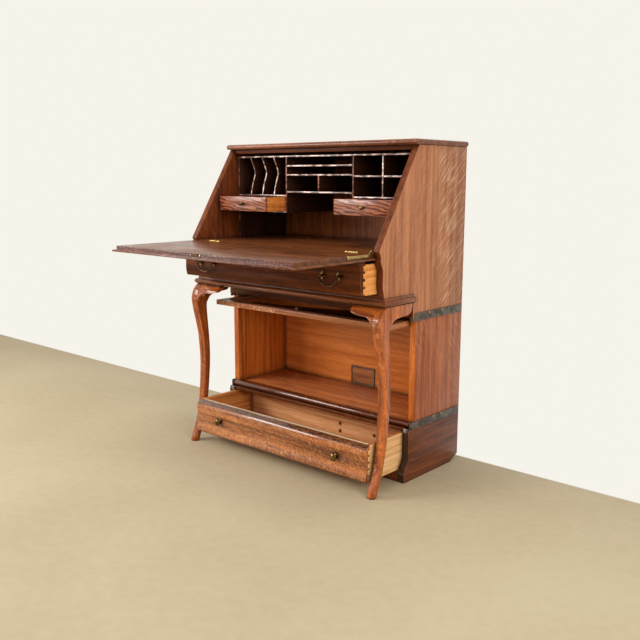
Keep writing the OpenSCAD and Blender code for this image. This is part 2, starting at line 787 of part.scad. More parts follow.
// Row of dovetails from a drawer side into its front, whose rear face is the joint
module tails(x, joint, z, count) {
    pitch = (z[1] - z[0]) / count;
    root = 0.3 * pitch;
    for (i = [0:count - 1])
        let (mid = z[0] + (i + 0.5) * pitch)
            along_x(x, [[joint - 1, mid - root], [joint + tail_l, mid - root - 1.5],
                [joint + tail_l, mid + root + 1.5], [joint - 1, mid + root]]);
}

// Desk drawer

desk_front_z = [bed_top + 1.5, floor_under - head_gap];
desk_face = hinge_d - desk_waist + seat_gap + desk_open;
desk_half = inner - end_gap;
desk_back_of_front = hinge_d - 11 - desk_front_t + desk_open;
desk_drawer_rear = hinge_d - 4 - desk_drawer_l + desk_open;
desk_wall_z = [bed_top + run_gap, floor_under - head_gap - 8];
pull_xs = [pull_x - pull_w / 2, pull_x + pull_w / 2];

desk_tails = 4;
desk_tails_z = [desk_front_z[0], desk_wall_z[1]];
module desk_drawer_front()
    color(OAK) difference() {
        intersection() {
            translate([0, -desk_open, 0]) along_x([-desk_half, desk_half],
                concat([[back_face, moulding_top]], desk_ogee, [[back_face, writing_h]]));
            board([-desk_half, desk_half],
                [desk_back_of_front, hinge_d + desk_relief + desk_open], desk_front_z);
        }
        shanks(pull_xs, desk_face, bed_top + desk_pull_h, desk_face - desk_back_of_front + 1);
        both() tails([desk_half - drawer_wall_t, desk_half + 1], desk_back_of_front,
            desk_tails_z, desk_tails);
    }

module desk_drawer_sides()
    color(OAK_WARM) both() {
        board([desk_half - drawer_wall_t, desk_half], [desk_drawer_rear, desk_back_of_front],
            desk_wall_z);
        tails([desk_half - drawer_wall_t, desk_half], desk_back_of_front,
            desk_tails_z, desk_tails);
    }

module desk_drawer_back() {
    x = desk_half - drawer_wall_t;
    color(OAK_WARM) board([-x, x], [desk_drawer_rear, desk_drawer_rear + drawer_wall_t],
        [desk_wall_z[0] + 8, desk_wall_z[1]]);
}

module drawer_bottom(x, rear, front, z)
    board([-x, x], [rear, front], [z, z + drawer_bottom_t]);

module desk_drawer_bottom()
    color(PINE) drawer_bottom(desk_half - drawer_wall_t, desk_drawer_rear, desk_back_of_front,
        desk_wall_z[0] + 1);

module desk_pull_posts()
    color(BRASS) pull_posts(desk_face, bed_top + desk_pull_h, desk_face - desk_back_of_front);

module desk_bail_left() color(BRASS) bail(-pull_x, desk_face, bed_top + desk_pull_h);
module desk_bail_right() color(BRASS) bail(pull_x, desk_face, bed_top + desk_pull_h);

// Base drawer

runner_z = plinth_h + 2;
base_front_z = [runner_z, base_h - base_rail_t - head_gap];
base_back_of_front = base_plumb_d + base_bead - base_front_t + base_open;
base_drawer_rear = base_back_of_front - base_box_l;
base_half = inner - end_gap;
base_wall_z = [runner_z + run_gap, base_front_z[1] - 1];

// Front: [part of its height, share of its greatest thickness], a bead below, a waist, a rounded top
BASE_FRONT = [[0, 0.71], [0.03, 0.93], [0.07, 0.99], [0.12, 0.975], [0.19, 0.88], [0.26, 0.785],
    [0.34, 0.73], [0.42, 0.714], [0.54, 0.76], [0.65, 0.82], [0.77, 0.857], [0.85, 0.81],
    [0.9, 0.665], [0.945, 0.4], [0.98, 0.13], [1, 0.03]];
base_face = base_back_of_front + 0.714 * base_front_t + seat_gap;
base_tails = 5;
base_tails_z = [base_wall_z[0], base_front_z[1] - 12];

module base_drawer_front() {
    z = [base_front_z[0] + 0.5, base_front_z[1]];
    shape = smooth([for (k = BASE_FRONT)
        [base_back_of_front + k[1] * base_front_t, z[0] + k[0] * (z[1] - z[0])]], 4);
    color(OAK) difference() {
        along_x([-base_half, base_half],
            concat([[base_back_of_front, z[0]]], shape, [[base_back_of_front, z[1]]]));
        shanks([base_knob_x], base_face, base_knob_h, base_face - base_back_of_front + 1);
        // Flat seat of the knob
        both() bar_depth(base_knob_x, [base_face, base_face + base_front_t], base_knob_h,
            base_knob_r * 0.75);
        both() tails([base_half - drawer_wall_t, base_half + 1], base_back_of_front,
            base_tails_z, base_tails);
    }
}

module base_drawer_sides()
    color(PINE) both() {
        board([base_half - drawer_wall_t, base_half], [base_drawer_rear, base_back_of_front],
            base_wall_z);
        tails([base_half - drawer_wall_t, base_half], base_back_of_front,
            base_tails_z, base_tails);
    }

module base_drawer_ends() {
    x = base_half - drawer_wall_t;
    color(PINE) difference() {
        union() {
            board([-x, x], [base_back_of_front - drawer_wall_t, base_back_of_front], base_wall_z);
            board([-x, x], [base_drawer_rear, base_drawer_rear + drawer_wall_t],
                [base_wall_z[0] + 8, base_wall_z[1]]);
        }
        shanks([base_knob_x], base_face, base_knob_h,
            base_face - base_back_of_front + drawer_wall_t + 1);
    }
}

module base_drawer_bottom()
    color(PINE) drawer_bottom(base_half - drawer_wall_t, base_drawer_rear,
        base_back_of_front - drawer_wall_t, base_wall_z[0] + 1);

// Knobs with a shank and a nut behind the inner front
module base_drawer_knobs() {
    through = base_face - base_back_of_front + drawer_wall_t;
    color(BRASS) both() {
        turned_knob(base_knob_x, base_face, base_knob_h, base_knob_r, base_knob_l);
        bar_depth(base_knob_x, [base_face - through - nut_t, base_face + 2], base_knob_h, shank_r);
        bar_depth(base_knob_x, [base_face - through - nut_t, base_face - through],
            base_knob_h, nut_r);
    }
}

// Small drawers of the nest

small_x = [nest_mid_x + nest_t / 2 + small_gap, nest_inner - small_gap];
small_mid_x = (small_x[0] + small_x[1]) / 2;
small_z = [bay_z + small_gap, bay_top - small_gap];
small_front_d = nest_d + small_open;

module small_front(side)
    color(ROSEWOOD) mirror([side < 0 ? 1 : 0, 0, 0])
        board(small_x, [small_front_d - small_front_t, small_front_d], small_z);

module small_box(side) {
    rear = small_front_d - small_drawer_l;
    front = small_front_d - small_front_t;
    z = [bay_z + run_gap, small_z[1] - 1];
    inside = [small_x[0] + small_wall_t, small_x[1] - small_wall_t];
    color(OAK_WARM) mirror([side < 0 ? 1 : 0, 0, 0]) {
        board([small_x[0], inside[0]], [rear, front], z);
        board([inside[1], small_x[1]], [rear, front], z);
        board(inside, [rear, rear + small_wall_t], z);
        board(inside, [rear + small_wall_t, front], [z[0], z[0] + small_bottom_t]);
    }
}

module small_front_left() small_front(-1);
module small_front_right() small_front(1);
module small_box_left() small_box(-1);
module small_box_right() small_box(1);

module small_knob(side)
    color(BRASS) turned_knob(side * small_mid_x, small_front_d, (small_z[0] + small_z[1]) / 2,
        small_knob_r, small_knob_l);
module small_knob_left() small_knob(-1);
module small_knob_right() small_knob(1);

// Bookcase section

module bookcase_side(x)
    color(OAK_SIDE) board(x, [0, bookcase_d], [bookcase_z, desk_z]);

module bookcase_side_left() bookcase_side([-half, -inner]);
module bookcase_side_right() bookcase_side([inner, half]);

module bookcase_back()
    color(OAK_WARM) board([-inner, inner], [back_inset, back_face], [bookcase_z, desk_z]);

nosing_in = 12;
module bookcase_floor()
    color(OAK) board([-inner, inner], [back_face, bookcase_d - nosing_in],
        [bookcase_z, bookcase_z + shelf_t]);

module bookcase_nosing() {
    h = shelf_t + nosing_rise;
    nose = bookcase_d + nosing_reach - h / 2;
    x = inner + nosing_lap;
    z = [bookcase_z, bookcase_z + h];
    color(OAK) {
        board([-inner, inner], [bookcase_d - nosing_in, bookcase_d], z);
        along_x([-x, x], concat([[bookcase_d, z[0]]],
            arc([nose, bookcase_z + h / 2], h / 2, -90, 90, 12), [[bookcase_d, z[1]]]));
    }
}

// Receding door

door_z = desk_z - door_head - door_t;
door_half = inner - swing_gap - 0.5;
guide_front = bookcase_d - 8;
module door_guides()
    color(OAK_WARM) both() {
        board([inner - guide_w, inner], [back_face, guide_front],
            [door_z - run_gap - guide_h, door_z - run_gap]);
        board([inner - stop_t, inner], [guide_front - 24, guide_front - 10],
            [bookcase_z + shelf_t, door_z - run_gap - guide_h]);
    }

door_d = [door_front_d - door_l, door_front_d];
door_rail_x = door_half - door_rail_w;
glass_z = [door_z + 5, door_z + 5 + glass_t];
glass_in = 8;
glass_fit = 1;

// Groove for the glass, or the glass itself where less is given
module pane(less) {
    x = door_rail_x + glass_in - less;
    board([-x, x], [door_d[0] + door_rail_w - glass_in + less,
        door_d[1] - door_rail_w + glass_in - less], glass_z);
}

module door_stiles()
    color(OAK) difference() {
        both() board([door_rail_x, door_half], door_d, [door_z, door_z + door_t]);
        pane(0);
    }

module door_rails()
    color(OAK) difference() {
        for (d = [door_d[0], door_d[1] - door_rail_w])
            board([-door_rail_x, door_rail_x], [d, d + door_rail_w], [door_z, door_z + door_t]);
        pane(0);
    }

module door_glass() color(GLASS) pane(glass_fit);

// Dark turned knob on the outer face of the door, which lies upward when slid in
door_knob_r = 8;
module door_knob()
    color(OAK_DARK) translate([0, rear_y - door_front_d + door_rail_w / 2, door_z + door_t])
        rotate_extrude() polygon(concat([[0, 0], [5, 0], [4, 4]],
            [for (i = [0:8]) [door_knob_r * sin(30 + i * 60 / 8), 7.5 - 3 * cos(30 + i * 60 / 8)]],
            [for (i = [1:7]) [door_knob_r * cos(i * 90 / 8), 7.5 + 4.5 * sin(i * 90 / 8)]],
            [[0, 12]]));

// Base section

module base_end(x)
    color(OAK_SIDE) along_x(x, concat([[skirting_bevel_d, 0]], base_edge,
        [[0, base_h], [0, skirting_bevel_h]]));

module base_end_left() base_end([-half, -inner]);
module base_end_right() base_end([inner, half]);

module base_back()
    color(OAK_DARK) board([-inner, inner], [back_inset, back_face],
        [skirting_bevel_h + 4, base_h]);

// Plinth rail, shaped like the ends and a little behind them, and the rail over the drawer
plinth_set = 2;
plinth_rear = base_d - plinth_set - plinth_t;
base_rail_set = 5;
module base_rails() {
    rail_d = base_plumb_d - base_rail_set;
    color(OAK) {
        intersection() {
            along_x([-inner, inner], concat([[back_face, 0]],
                [for (p = base_edge) p - [plinth_set, 0]], [[back_face, base_h]]));
            board([-inner, inner], [plinth_rear, base_d], [0, plinth_h]);
        }
        board([-inner, inner], [rail_d - base_rail_w, rail_d], [base_h - base_rail_t, base_h]);
    }
}

module base_runners()
    color(PINE) both() board([inner - runner_w, inner], [back_face, plinth_rear],
        [runner_z - runner_h, runner_z]);

// Steel straps that tie the sections together, two on each side
curl_r = 6;
curl_t = 2;
module strap(z, curl_z) {
    front = strap_rear + strap_l;
    slot_h = strap_h - 8;
    curl_x = half + strap_t - curl_r;
    difference() {
        board([half, half + strap_t], [strap_rear, front - curl_r], [z, z + strap_h]);
        for (d = [front - 42, front - 52])
            board([half - 1, half + strap_t + 1], [d - 2, d + 2],
                [z + 4, z + 4 + slot_h]);
    }
    difference() {
        translate([curl_x, rear_y - front + curl_r, curl_z[0]])
            cylinder(r = curl_r, h = curl_z[1] - curl_z[0]);
        translate([curl_x, rear_y - front + curl_r, curl_z[0] - 1])
            cylinder(r = curl_r - curl_t, h = curl_z[1] - curl_z[0] + 2);
        board([curl_x - curl_r - 1, half - 0.1], [front - 3 * curl_r, front - curl_r],
            [curl_z[0] - 1, curl_z[1] + 1]);
    }
}

module side_straps() {
    upper = desk_z - strap_h * 0.42;
    lower = bookcase_z - 4;
    color(STEEL) both() {
        strap(upper, [upper, desk_z - run_gap]);
        strap(lower, [bookcase_z + run_gap, lower + strap_h]);
    }
}

desk_side_left();
desk_side_right();
desk_top();
top_rail();
desk_back();
writing_floor();
drawer_bed();
desk_moulding();
lower_front_rail();
lower_board();
leg_left();
leg_right();
front_brackets();
nest_top();
nest_ends();
nest_partitions();
nest_side_shelves();
nest_centre_shelves();
nest_centre_divider();
nest_shaped_dividers();
nest_right_cells();
bookcase_side_left();
bookcase_side_right();
bookcase_back();
bookcase_floor();
bookcase_nosing();
door_guides();
base_end_left();
base_end_right();
base_back();
base_rails();
base_runners();
side_straps();
floor_hinge_leaves();
fall_panel();
fall_hinge_leaves();
lock_plate();
lid_stay();
desk_drawer_front();
desk_drawer_sides();
desk_drawer_back();
desk_drawer_bottom();
desk_pull_posts();
desk_bail_left();
desk_bail_right();
base_drawer_front();
base_drawer_sides();
base_drawer_ends();
base_drawer_bottom();
base_drawer_knobs();
small_front_left();
small_box_left();
small_front_right();
small_box_right();
small_knob_left();
small_knob_right();
door_stiles();
door_rails();
door_glass();
door_knob();
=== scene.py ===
# %% [markdown]
# # An oak writing desk on a bookcase section
#
# The solids of the desk come ready made: every board, leg, hinge and pull is a part of the frame, in
# metres, in its own place. What is left to do here is what a finisher does in a workshop: soften the
# edges, choose how the grain runs in each board, stain and varnish, and put the small screws in.
#
# The frame comes first, because every piece below takes its place from it.

# %% Load the frame
import json
import math
import bpy
from mathutils import Matrix, Vector


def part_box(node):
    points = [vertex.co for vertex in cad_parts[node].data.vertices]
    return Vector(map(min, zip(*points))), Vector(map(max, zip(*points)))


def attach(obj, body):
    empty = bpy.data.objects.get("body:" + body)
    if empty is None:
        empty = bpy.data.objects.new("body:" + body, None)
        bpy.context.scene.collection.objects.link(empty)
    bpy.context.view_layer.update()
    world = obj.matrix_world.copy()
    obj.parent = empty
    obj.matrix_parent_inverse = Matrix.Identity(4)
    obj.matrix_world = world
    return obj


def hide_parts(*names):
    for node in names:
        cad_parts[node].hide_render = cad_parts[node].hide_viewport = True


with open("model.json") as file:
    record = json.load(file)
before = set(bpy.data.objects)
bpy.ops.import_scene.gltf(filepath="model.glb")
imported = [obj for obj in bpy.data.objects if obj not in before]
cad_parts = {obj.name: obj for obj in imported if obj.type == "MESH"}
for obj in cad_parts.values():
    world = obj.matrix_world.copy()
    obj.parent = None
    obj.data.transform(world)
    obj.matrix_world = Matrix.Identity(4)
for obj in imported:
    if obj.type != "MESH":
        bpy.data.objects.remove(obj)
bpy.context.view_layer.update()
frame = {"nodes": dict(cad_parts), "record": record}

scene = bpy.context.scene
scene.view_settings.view_transform = "Standard"
record = frame["record"]
body_of = {node: body for body, nodes in record["behaviour"]["bodies"].items() for node in nodes}
MM = 0.001
WARM_WHITE = "f6f3ea"

# %% [markdown]
# ## The camera
#
# The photograph was taken from the right of the desk, a little below its top, with a normal lens. The
# place and the lens were found by fitting a pinhole camera to the long straight edges of the case, so
# the render can be laid over the photograph.

# %% Camera
lens_data = bpy.data.cameras.new("photo_camera")
lens_data.lens = 45.16
lens_data.sensor_width = 36
tilt_down, roll, pan = 0.17586, -0.00228, 0.72474
camera = bpy.data.objects.new("photo_camera", lens_data)
camera.location = (1.8825, -1.9643, 0.9902)
camera.rotation_euler = (math.radians(90) - tilt_down, roll, pan)
scene.collection.objects.link(camera)
scene.camera = camera
print("camera at", tuple(round(c, 3) for c in camera.location))

# %% [markdown]
# ## Small helpers for materials
#
# A material is a tree of nodes, and the same few moves come back in all of them: put a node in, feed
# its sockets, mix two colours, fade a value between two limits. Each move gets a short function, so the
# recipes further down read like recipes.

# %% Helpers for node trees
def rgb(code):
    """Linear colour of a six-digit screen colour."""
    parts = [int(code[i:i + 2], 16) / 255 for i in (0, 2, 4)]
    return [c / 12.92 if c < 0.04045 else ((c + 0.055) / 1.055) ** 2.4 for c in parts] + [1]


def feed(tree, plug, value):
    """Sets a socket to a value, or links it if the value is another socket."""
    if isinstance(value, bpy.types.NodeSocket):
        tree.links.new(value, plug)
    else:
        plug.default_value = value


def put(tree, kind, settings=None, **sockets):
    """Adds a shader node and feeds the named sockets."""
    made = tree.nodes.new("ShaderNode" + kind)
    for name, value in (settings or {}).items():
        setattr(made, name, value)
    for name, value in sockets.items():
        feed(tree, made.inputs[name.replace("_", " ")], value)
    return made


def mix(tree, factor, a, b, blend="MIX"):
    """Colour between a and b."""
    made = put(tree, "Mix", {"data_type": "RGBA", "blend_type": blend})
    for place, value in ((0, factor), (6, a), (7, b)):
        feed(tree, made.inputs[place], value)
    return made.outputs[2]


def calc(tree, operation, a, b):
    """One step of arithmetic on two values."""
    made = put(tree, "Math", {"operation": operation})
    feed(tree, made.inputs[0], a)
    feed(tree, made.inputs[1], b)
    return made.outputs[0]


def times(tree, a, b):
    """Product of two values."""
    return calc(tree, "MULTIPLY", a, b)


def weigh(tree, a, b, share):
    """Mean of two values, in which the first has this share."""
    return calc(tree, "ADD", times(tree, a, share), times(tree, b, 1 - share))


def combine(tree, operation, a, b, result="Vector"):
    """One step of arithmetic on two vectors."""
    made = put(tree, "VectorMath", {"operation": operation})
    feed(tree, made.inputs[0], a)
    feed(tree, made.inputs[1], b)
    return made.outputs[result]


def fade(tree, value, low, high, bottom=0.0, top=1.0):
    """Goes smoothly from bottom to top while the value goes from low to high."""
    made = put(tree, "MapRange", {"interpolation_type": "SMOOTHSTEP"})
    for place, number in enumerate((value, low, high, bottom, top)):
        feed(tree, made.inputs[place], number)
    return made.outputs[0]


def noise(tree, place, stretch, detail, warp=0.0, turn=(0, 0, 0)):
    """Cloudy value from 0 to 1 with so many features per metre along each axis."""
    turned = put(tree, "Mapping", Vector=place, Rotation=turn).outputs[0]
    return put(tree, "TexNoise", Vector=combine(tree, "MULTIPLY", turned, stretch), Scale=1.0,
               Detail=detail, Distortion=warp).outputs[0]


def object_place(tree):
    """Where a point lies on the desk, in metres."""
    return put(tree, "TexCoord").outputs["Object"]


def grain_place(tree):
    """Where a point lies in its board: along the grain, across the face, through the thickness."""
    return put(tree, "Attribute", {"attribute_name": "grain"}).outputs["Vector"]


def new_group(name, inputs, outputs):
    """Empty node group with its sockets, and the two nodes inside that carry them."""
    group = bpy.data.node_groups.new(name, "ShaderNodeTree")
    for title, kind in inputs:
        group.interface.new_socket(title, in_out="INPUT", socket_type="NodeSocket" + kind)
    for title, kind in outputs:
        group.interface.new_socket(title, in_out="OUTPUT", socket_type="NodeSocket" + kind)
    return group, group.nodes.new("NodeGroupInput").outputs, group.nodes.new("NodeGroupOutput").inputs


def use_group(tree, group, **sockets):
    """Places a group in a material and feeds it."""
    made = tree.nodes.new("ShaderNodeGroup")
    made.node_tree = group
    for name, value in sockets.items():
        feed(tree, made.inputs[name.replace("_", " ")], value)
    return made.outputs


print("helpers for materials are ready")

# %% [markdown]
# ## How oak looks
#
# Quartersawn oak has three things to see. Long soft bands follow the grain. Fine dark pores lie along
# it like pencil strokes. And pale rays cross it: ribbons a few centimetres long that lean away from the
# grain, in some boards hardly there and in others all over.
#
# All three are noise that is stretched differently. The noise is read from an attribute named grain,
# which each piece gets below: its first number runs along the board, the second across its face and
# the third through its thickness. So one recipe serves boards that stand, lie or lean.

# %% Oak figure, a group
figure, told, gives = new_group(
    "oak_figure",
    [("Grain", "Vector"), ("Dark", "Color"), ("Light", "Color"), ("Ray", "Color"),
     ("Rays", "Float"), ("Lean", "Float"), ("Even", "Float"), ("Fine", "Float"),
     ("Flecks", "Float")],
    [("Colour", "Color"), ("Height", "Float"), ("Shine", "Float")])

# The grain wanders a little, and bands, threads and pores wander with it.
sway = noise(figure, told["Grain"], (2.5, 10, 10), 2)
push = times(figure, calc(figure, "SUBTRACT", sway, 0.5), 0.03)
wood = combine(figure, "ADD", told["Grain"], put(figure, "CombineXYZ", Y=push, Z=push).outputs[0])
bands = noise(figure, wood, (1.8, 55, 55), 5)
threads = noise(figure, wood, (9, 420, 420), 4)
pores = fade(figure, noise(figure, wood, (75, 1300, 1300), 2), 0.57, 0.68)
tone = weigh(figure, bands, threads, 0.6)
ground = mix(figure, fade(figure, tone, 0.33, 0.67), told["Dark"], told["Light"])
pore_colour = mix(figure, 0.6, told["Dark"], (0, 0, 0, 1))
ground = mix(figure, times(figure, pores, 0.5), ground, pore_colour)

# The rays lean away from the grain and gather in fields, unless the board is even.
lean = put(figure, "CombineXYZ", Z=told["Lean"]).outputs[0]
closer = put(figure, "VectorMath", {"operation": "SCALE"}, Scale=told["Fine"])
feed(figure, closer.inputs[0], told["Grain"])
ribbons = noise(figure, closer.outputs[0], (11, 210, 60), 2, 0.2, lean)
fields = fade(figure, noise(figure, told["Grain"], (4, 11, 11), 2), 0.42, 0.58)
fields = calc(figure, "MAXIMUM", fields, told["Even"])
rays = times(figure, times(figure, fade(figure, ribbons, 0.55, 0.61), fields), told["Rays"])

# Short dark strokes lie under the rays.
flecks = fade(figure, noise(figure, wood, (120, 560, 560), 3), 0.5, 0.6)
ground = mix(figure, times(figure, flecks, told["Flecks"]), ground, told["Dark"])
feed(figure, gives["Colour"], mix(figure, rays, ground, told["Ray"]))
relief = calc(figure, "SUBTRACT", times(figure, threads, 0.4), pores)
feed(figure, gives["Height"], calc(figure, "ADD", relief, times(figure, rays, 0.3)))
feed(figure, gives["Shine"], rays)
print("oak_figure:", len(figure.nodes), "nodes")

# %% [markdown]
# ## Age and painted shade
#
# A century of hands takes the stain off the corners, and the hollows are darkened by painted shade with
# some dirt. Both are read from the shape. Where a rounded normal differs from the true one there is an
# edge, and where little sky is seen there is a hollow. Every finish on this desk uses them, so they are
# a group too.

# %% Age and painted shade, a group
EDGE_RADIUS = 2.2 * MM
HOLLOW_WIDTH = 18 * MM
age_and_shade, told, gives = new_group(
    "age_and_shade",
    [("Colour", "Color"), ("Worn", "Color"), ("Wear", "Float"), ("Dirt", "Color"),
     ("Grime", "Float"), ("Place", "Vector")],
    [("Colour", "Color"), ("Edge", "Float")])
rounded_normal = put(age_and_shade, "Bevel", {"samples": 4}, Radius=EDGE_RADIUS).outputs[0]
true_normal = put(age_and_shade, "NewGeometry").outputs["Normal"]
agreement = combine(age_and_shade, "DOT_PRODUCT", rounded_normal, true_normal, "Value")
edge = fade(age_and_shade, agreement, 0.985, 0.86)
patchy = fade(age_and_shade, noise(age_and_shade, told["Place"], (40, 40, 40), 4), 0.38, 0.62)
worn = times(age_and_shade, times(age_and_shade, edge, patchy), told["Wear"])
# Painted shade, with some dirt: where little sky is seen the colour turns dark.
hollow = put(age_and_shade, "AmbientOcclusion", {"samples": 4}, Distance=HOLLOW_WIDTH).outputs["AO"]
dirt_and_shade_mask = times(age_and_shade, fade(age_and_shade, hollow, 0.95, 0.45), told["Grime"])
feed(age_and_shade, gives["Colour"], mix(age_and_shade, dirt_and_shade_mask, mix(age_and_shade, worn, told["Colour"], told["Worn"]), told["Dirt"]))
feed(age_and_shade, gives["Edge"], worn)
print("age:", len(age_and_shade.nodes), "nodes")

# %% [markdown]
# ## Varnished oak in several stains
#
# The sides of the case stand in the light and are a pinkish brown, partly faded and partly a painted
# sheen, with broad rays near the wall. The fronts are redder. The inside of the case and the rims of the
# base are the darkest; in the nest that dark is painted shade. The back of the bookcase section and the
# drawer sides hardly had any stain and glow orange. One function makes them all from a dark, a light
# and a ray colour.

# %% Oak finishes
def shader(material):
    """The tree of a material and its main shader node."""
    material.use_nodes = True
    return material.node_tree, material.node_tree.nodes["Principled BSDF"]


def aged_and_shaded(tree, colour, worn, wear, dirt_and_shade, grime_and_shade, place):
    """Colour after years of hands, with painted shade and dirt in hollows, and the edge wear."""
    return use_group(tree, age_and_shade, Colour=colour, Worn=rgb(worn), Wear=wear, Dirt=rgb(dirt_and_shade), Grime=grime_and_shade,
                     Place=place)


def varnish(material, colour, height, edge, shine, rough, coat, depth, gloss=0.16, polish=0.16):
    """Feeds a coat of varnish over a colour with some relief.

    rough is the roughness of the wood, and gloss is how much it mirrors. coat is how much polish lies
    on top, polish is the roughness of that, and depth is the height of the relief in metres.
    """
    tree, main = shader(material)
    main.inputs["Specular IOR Level"].default_value = gloss
    cloudy = noise(tree, object_place(tree), (9, 9, 9), 4)
    base = fade(tree, cloudy, 0.3, 0.7, rough - 0.06, rough + 0.06)
    dull = calc(tree, "ADD", base, times(tree, edge, 0.12))
    feed(tree, main.inputs["Roughness"], calc(tree, "SUBTRACT", dull, times(tree, shine, 0.1)))
    feed(tree, main.inputs["Base Color"], colour)
    main.inputs["Coat Weight"].default_value = coat
    main.inputs["Coat Roughness"].default_value = polish
    bump = put(tree, "Bump", Strength=0.35, Distance=depth, Height=height)
    feed(tree, main.inputs["Normal"], bump.outputs[0])


def oak(name, dark, light, ray, rays, lean, rough, coat, worn="c98d6a", wear=0.5, grime_and_shade=0.6,
        spread=None, even=0.0, front=None, rim_shade=None, fine=1.0, flecks=0.25, gloss=0.16, polish=0.16):
    """Oak in one stain, with rays of such strength that lean so far from the grain.

    spread limits the rays to a stretch of depth and shades the wood behind it, even keeps the rays from
    gathering in patches, fine makes them smaller and flecks are short dark strokes. front is a pale
    colour for faces that look forward, in patches: partly edges polished by hands, partly a painted
    highlight. The rim colour is painted shade, dark on rounds that turn up or down. The rest is what
    wear, dirt with painted shade in hollows, and varnish take.
    """
    material = bpy.data.materials.new(name)
    tree = shader(material)[0]
    grain = grain_place(tree)
    place = object_place(tree)
    if spread:
        start, full = spread
        depth = put(tree, "SeparateXYZ", Vector=place).outputs["Y"]
        rays = fade(tree, depth, start, full, 0.12 * rays, rays)
    lines = use_group(tree, figure, Grain=grain, Dark=rgb(dark), Light=rgb(light), Ray=rgb(ray),
                      Rays=rays, Lean=lean, Even=even, Fine=fine, Flecks=flecks)
    colour = lines["Colour"]
    if spread:
        shade = fade(tree, depth, start + 0.08, full + 0.07, 0.0, 0.3)
        colour = mix(tree, shade, colour, rgb("8a5a38"), "MULTIPLY")
    facing = put(tree, "SeparateXYZ", Vector=put(tree, "NewGeometry").outputs["Normal"]).outputs
    if front:
        # Painted highlight, partly wear: faces that look forward get the pale front colour in patches.
        ahead = fade(tree, facing["Y"], -0.25, -0.8)
        wear_and_glint_patches = fade(tree, noise(tree, place, (34, 34, 60), 3), 0.46, 0.6, 0.14, 1.0)
        colour = mix(tree, times(tree, ahead, wear_and_glint_patches), colour, rgb(front))
    if rim_shade:
        # Painted shade: rounds that turn up or down get the dark rim colour, in patches.
        turned = calc(tree, "MAXIMUM", fade(tree, facing["Z"], 0.42, 0.62),
                      fade(tree, facing["Z"], -0.08, -0.28))
        patchy_shade = fade(tree, noise(tree, grain, (60, 400, 400), 3), 0.4, 0.6, 0.5, 1.0)
        colour = mix(tree, times(tree, turned, patchy_shade), colour, rgb(rim_shade))
    # 1c0d07 is the colour of the painted shade and dirt in hollows.
    worn_and_shaded = aged_and_shaded(tree, colour, worn, wear, "1c0d07", grime_and_shade, place)
    varnish(material, worn_and_shaded["Colour"], lines["Height"], worn_and_shaded["Edge"], lines["Shine"], rough, coat,
            0.4 * MM, gloss, polish)
    return material


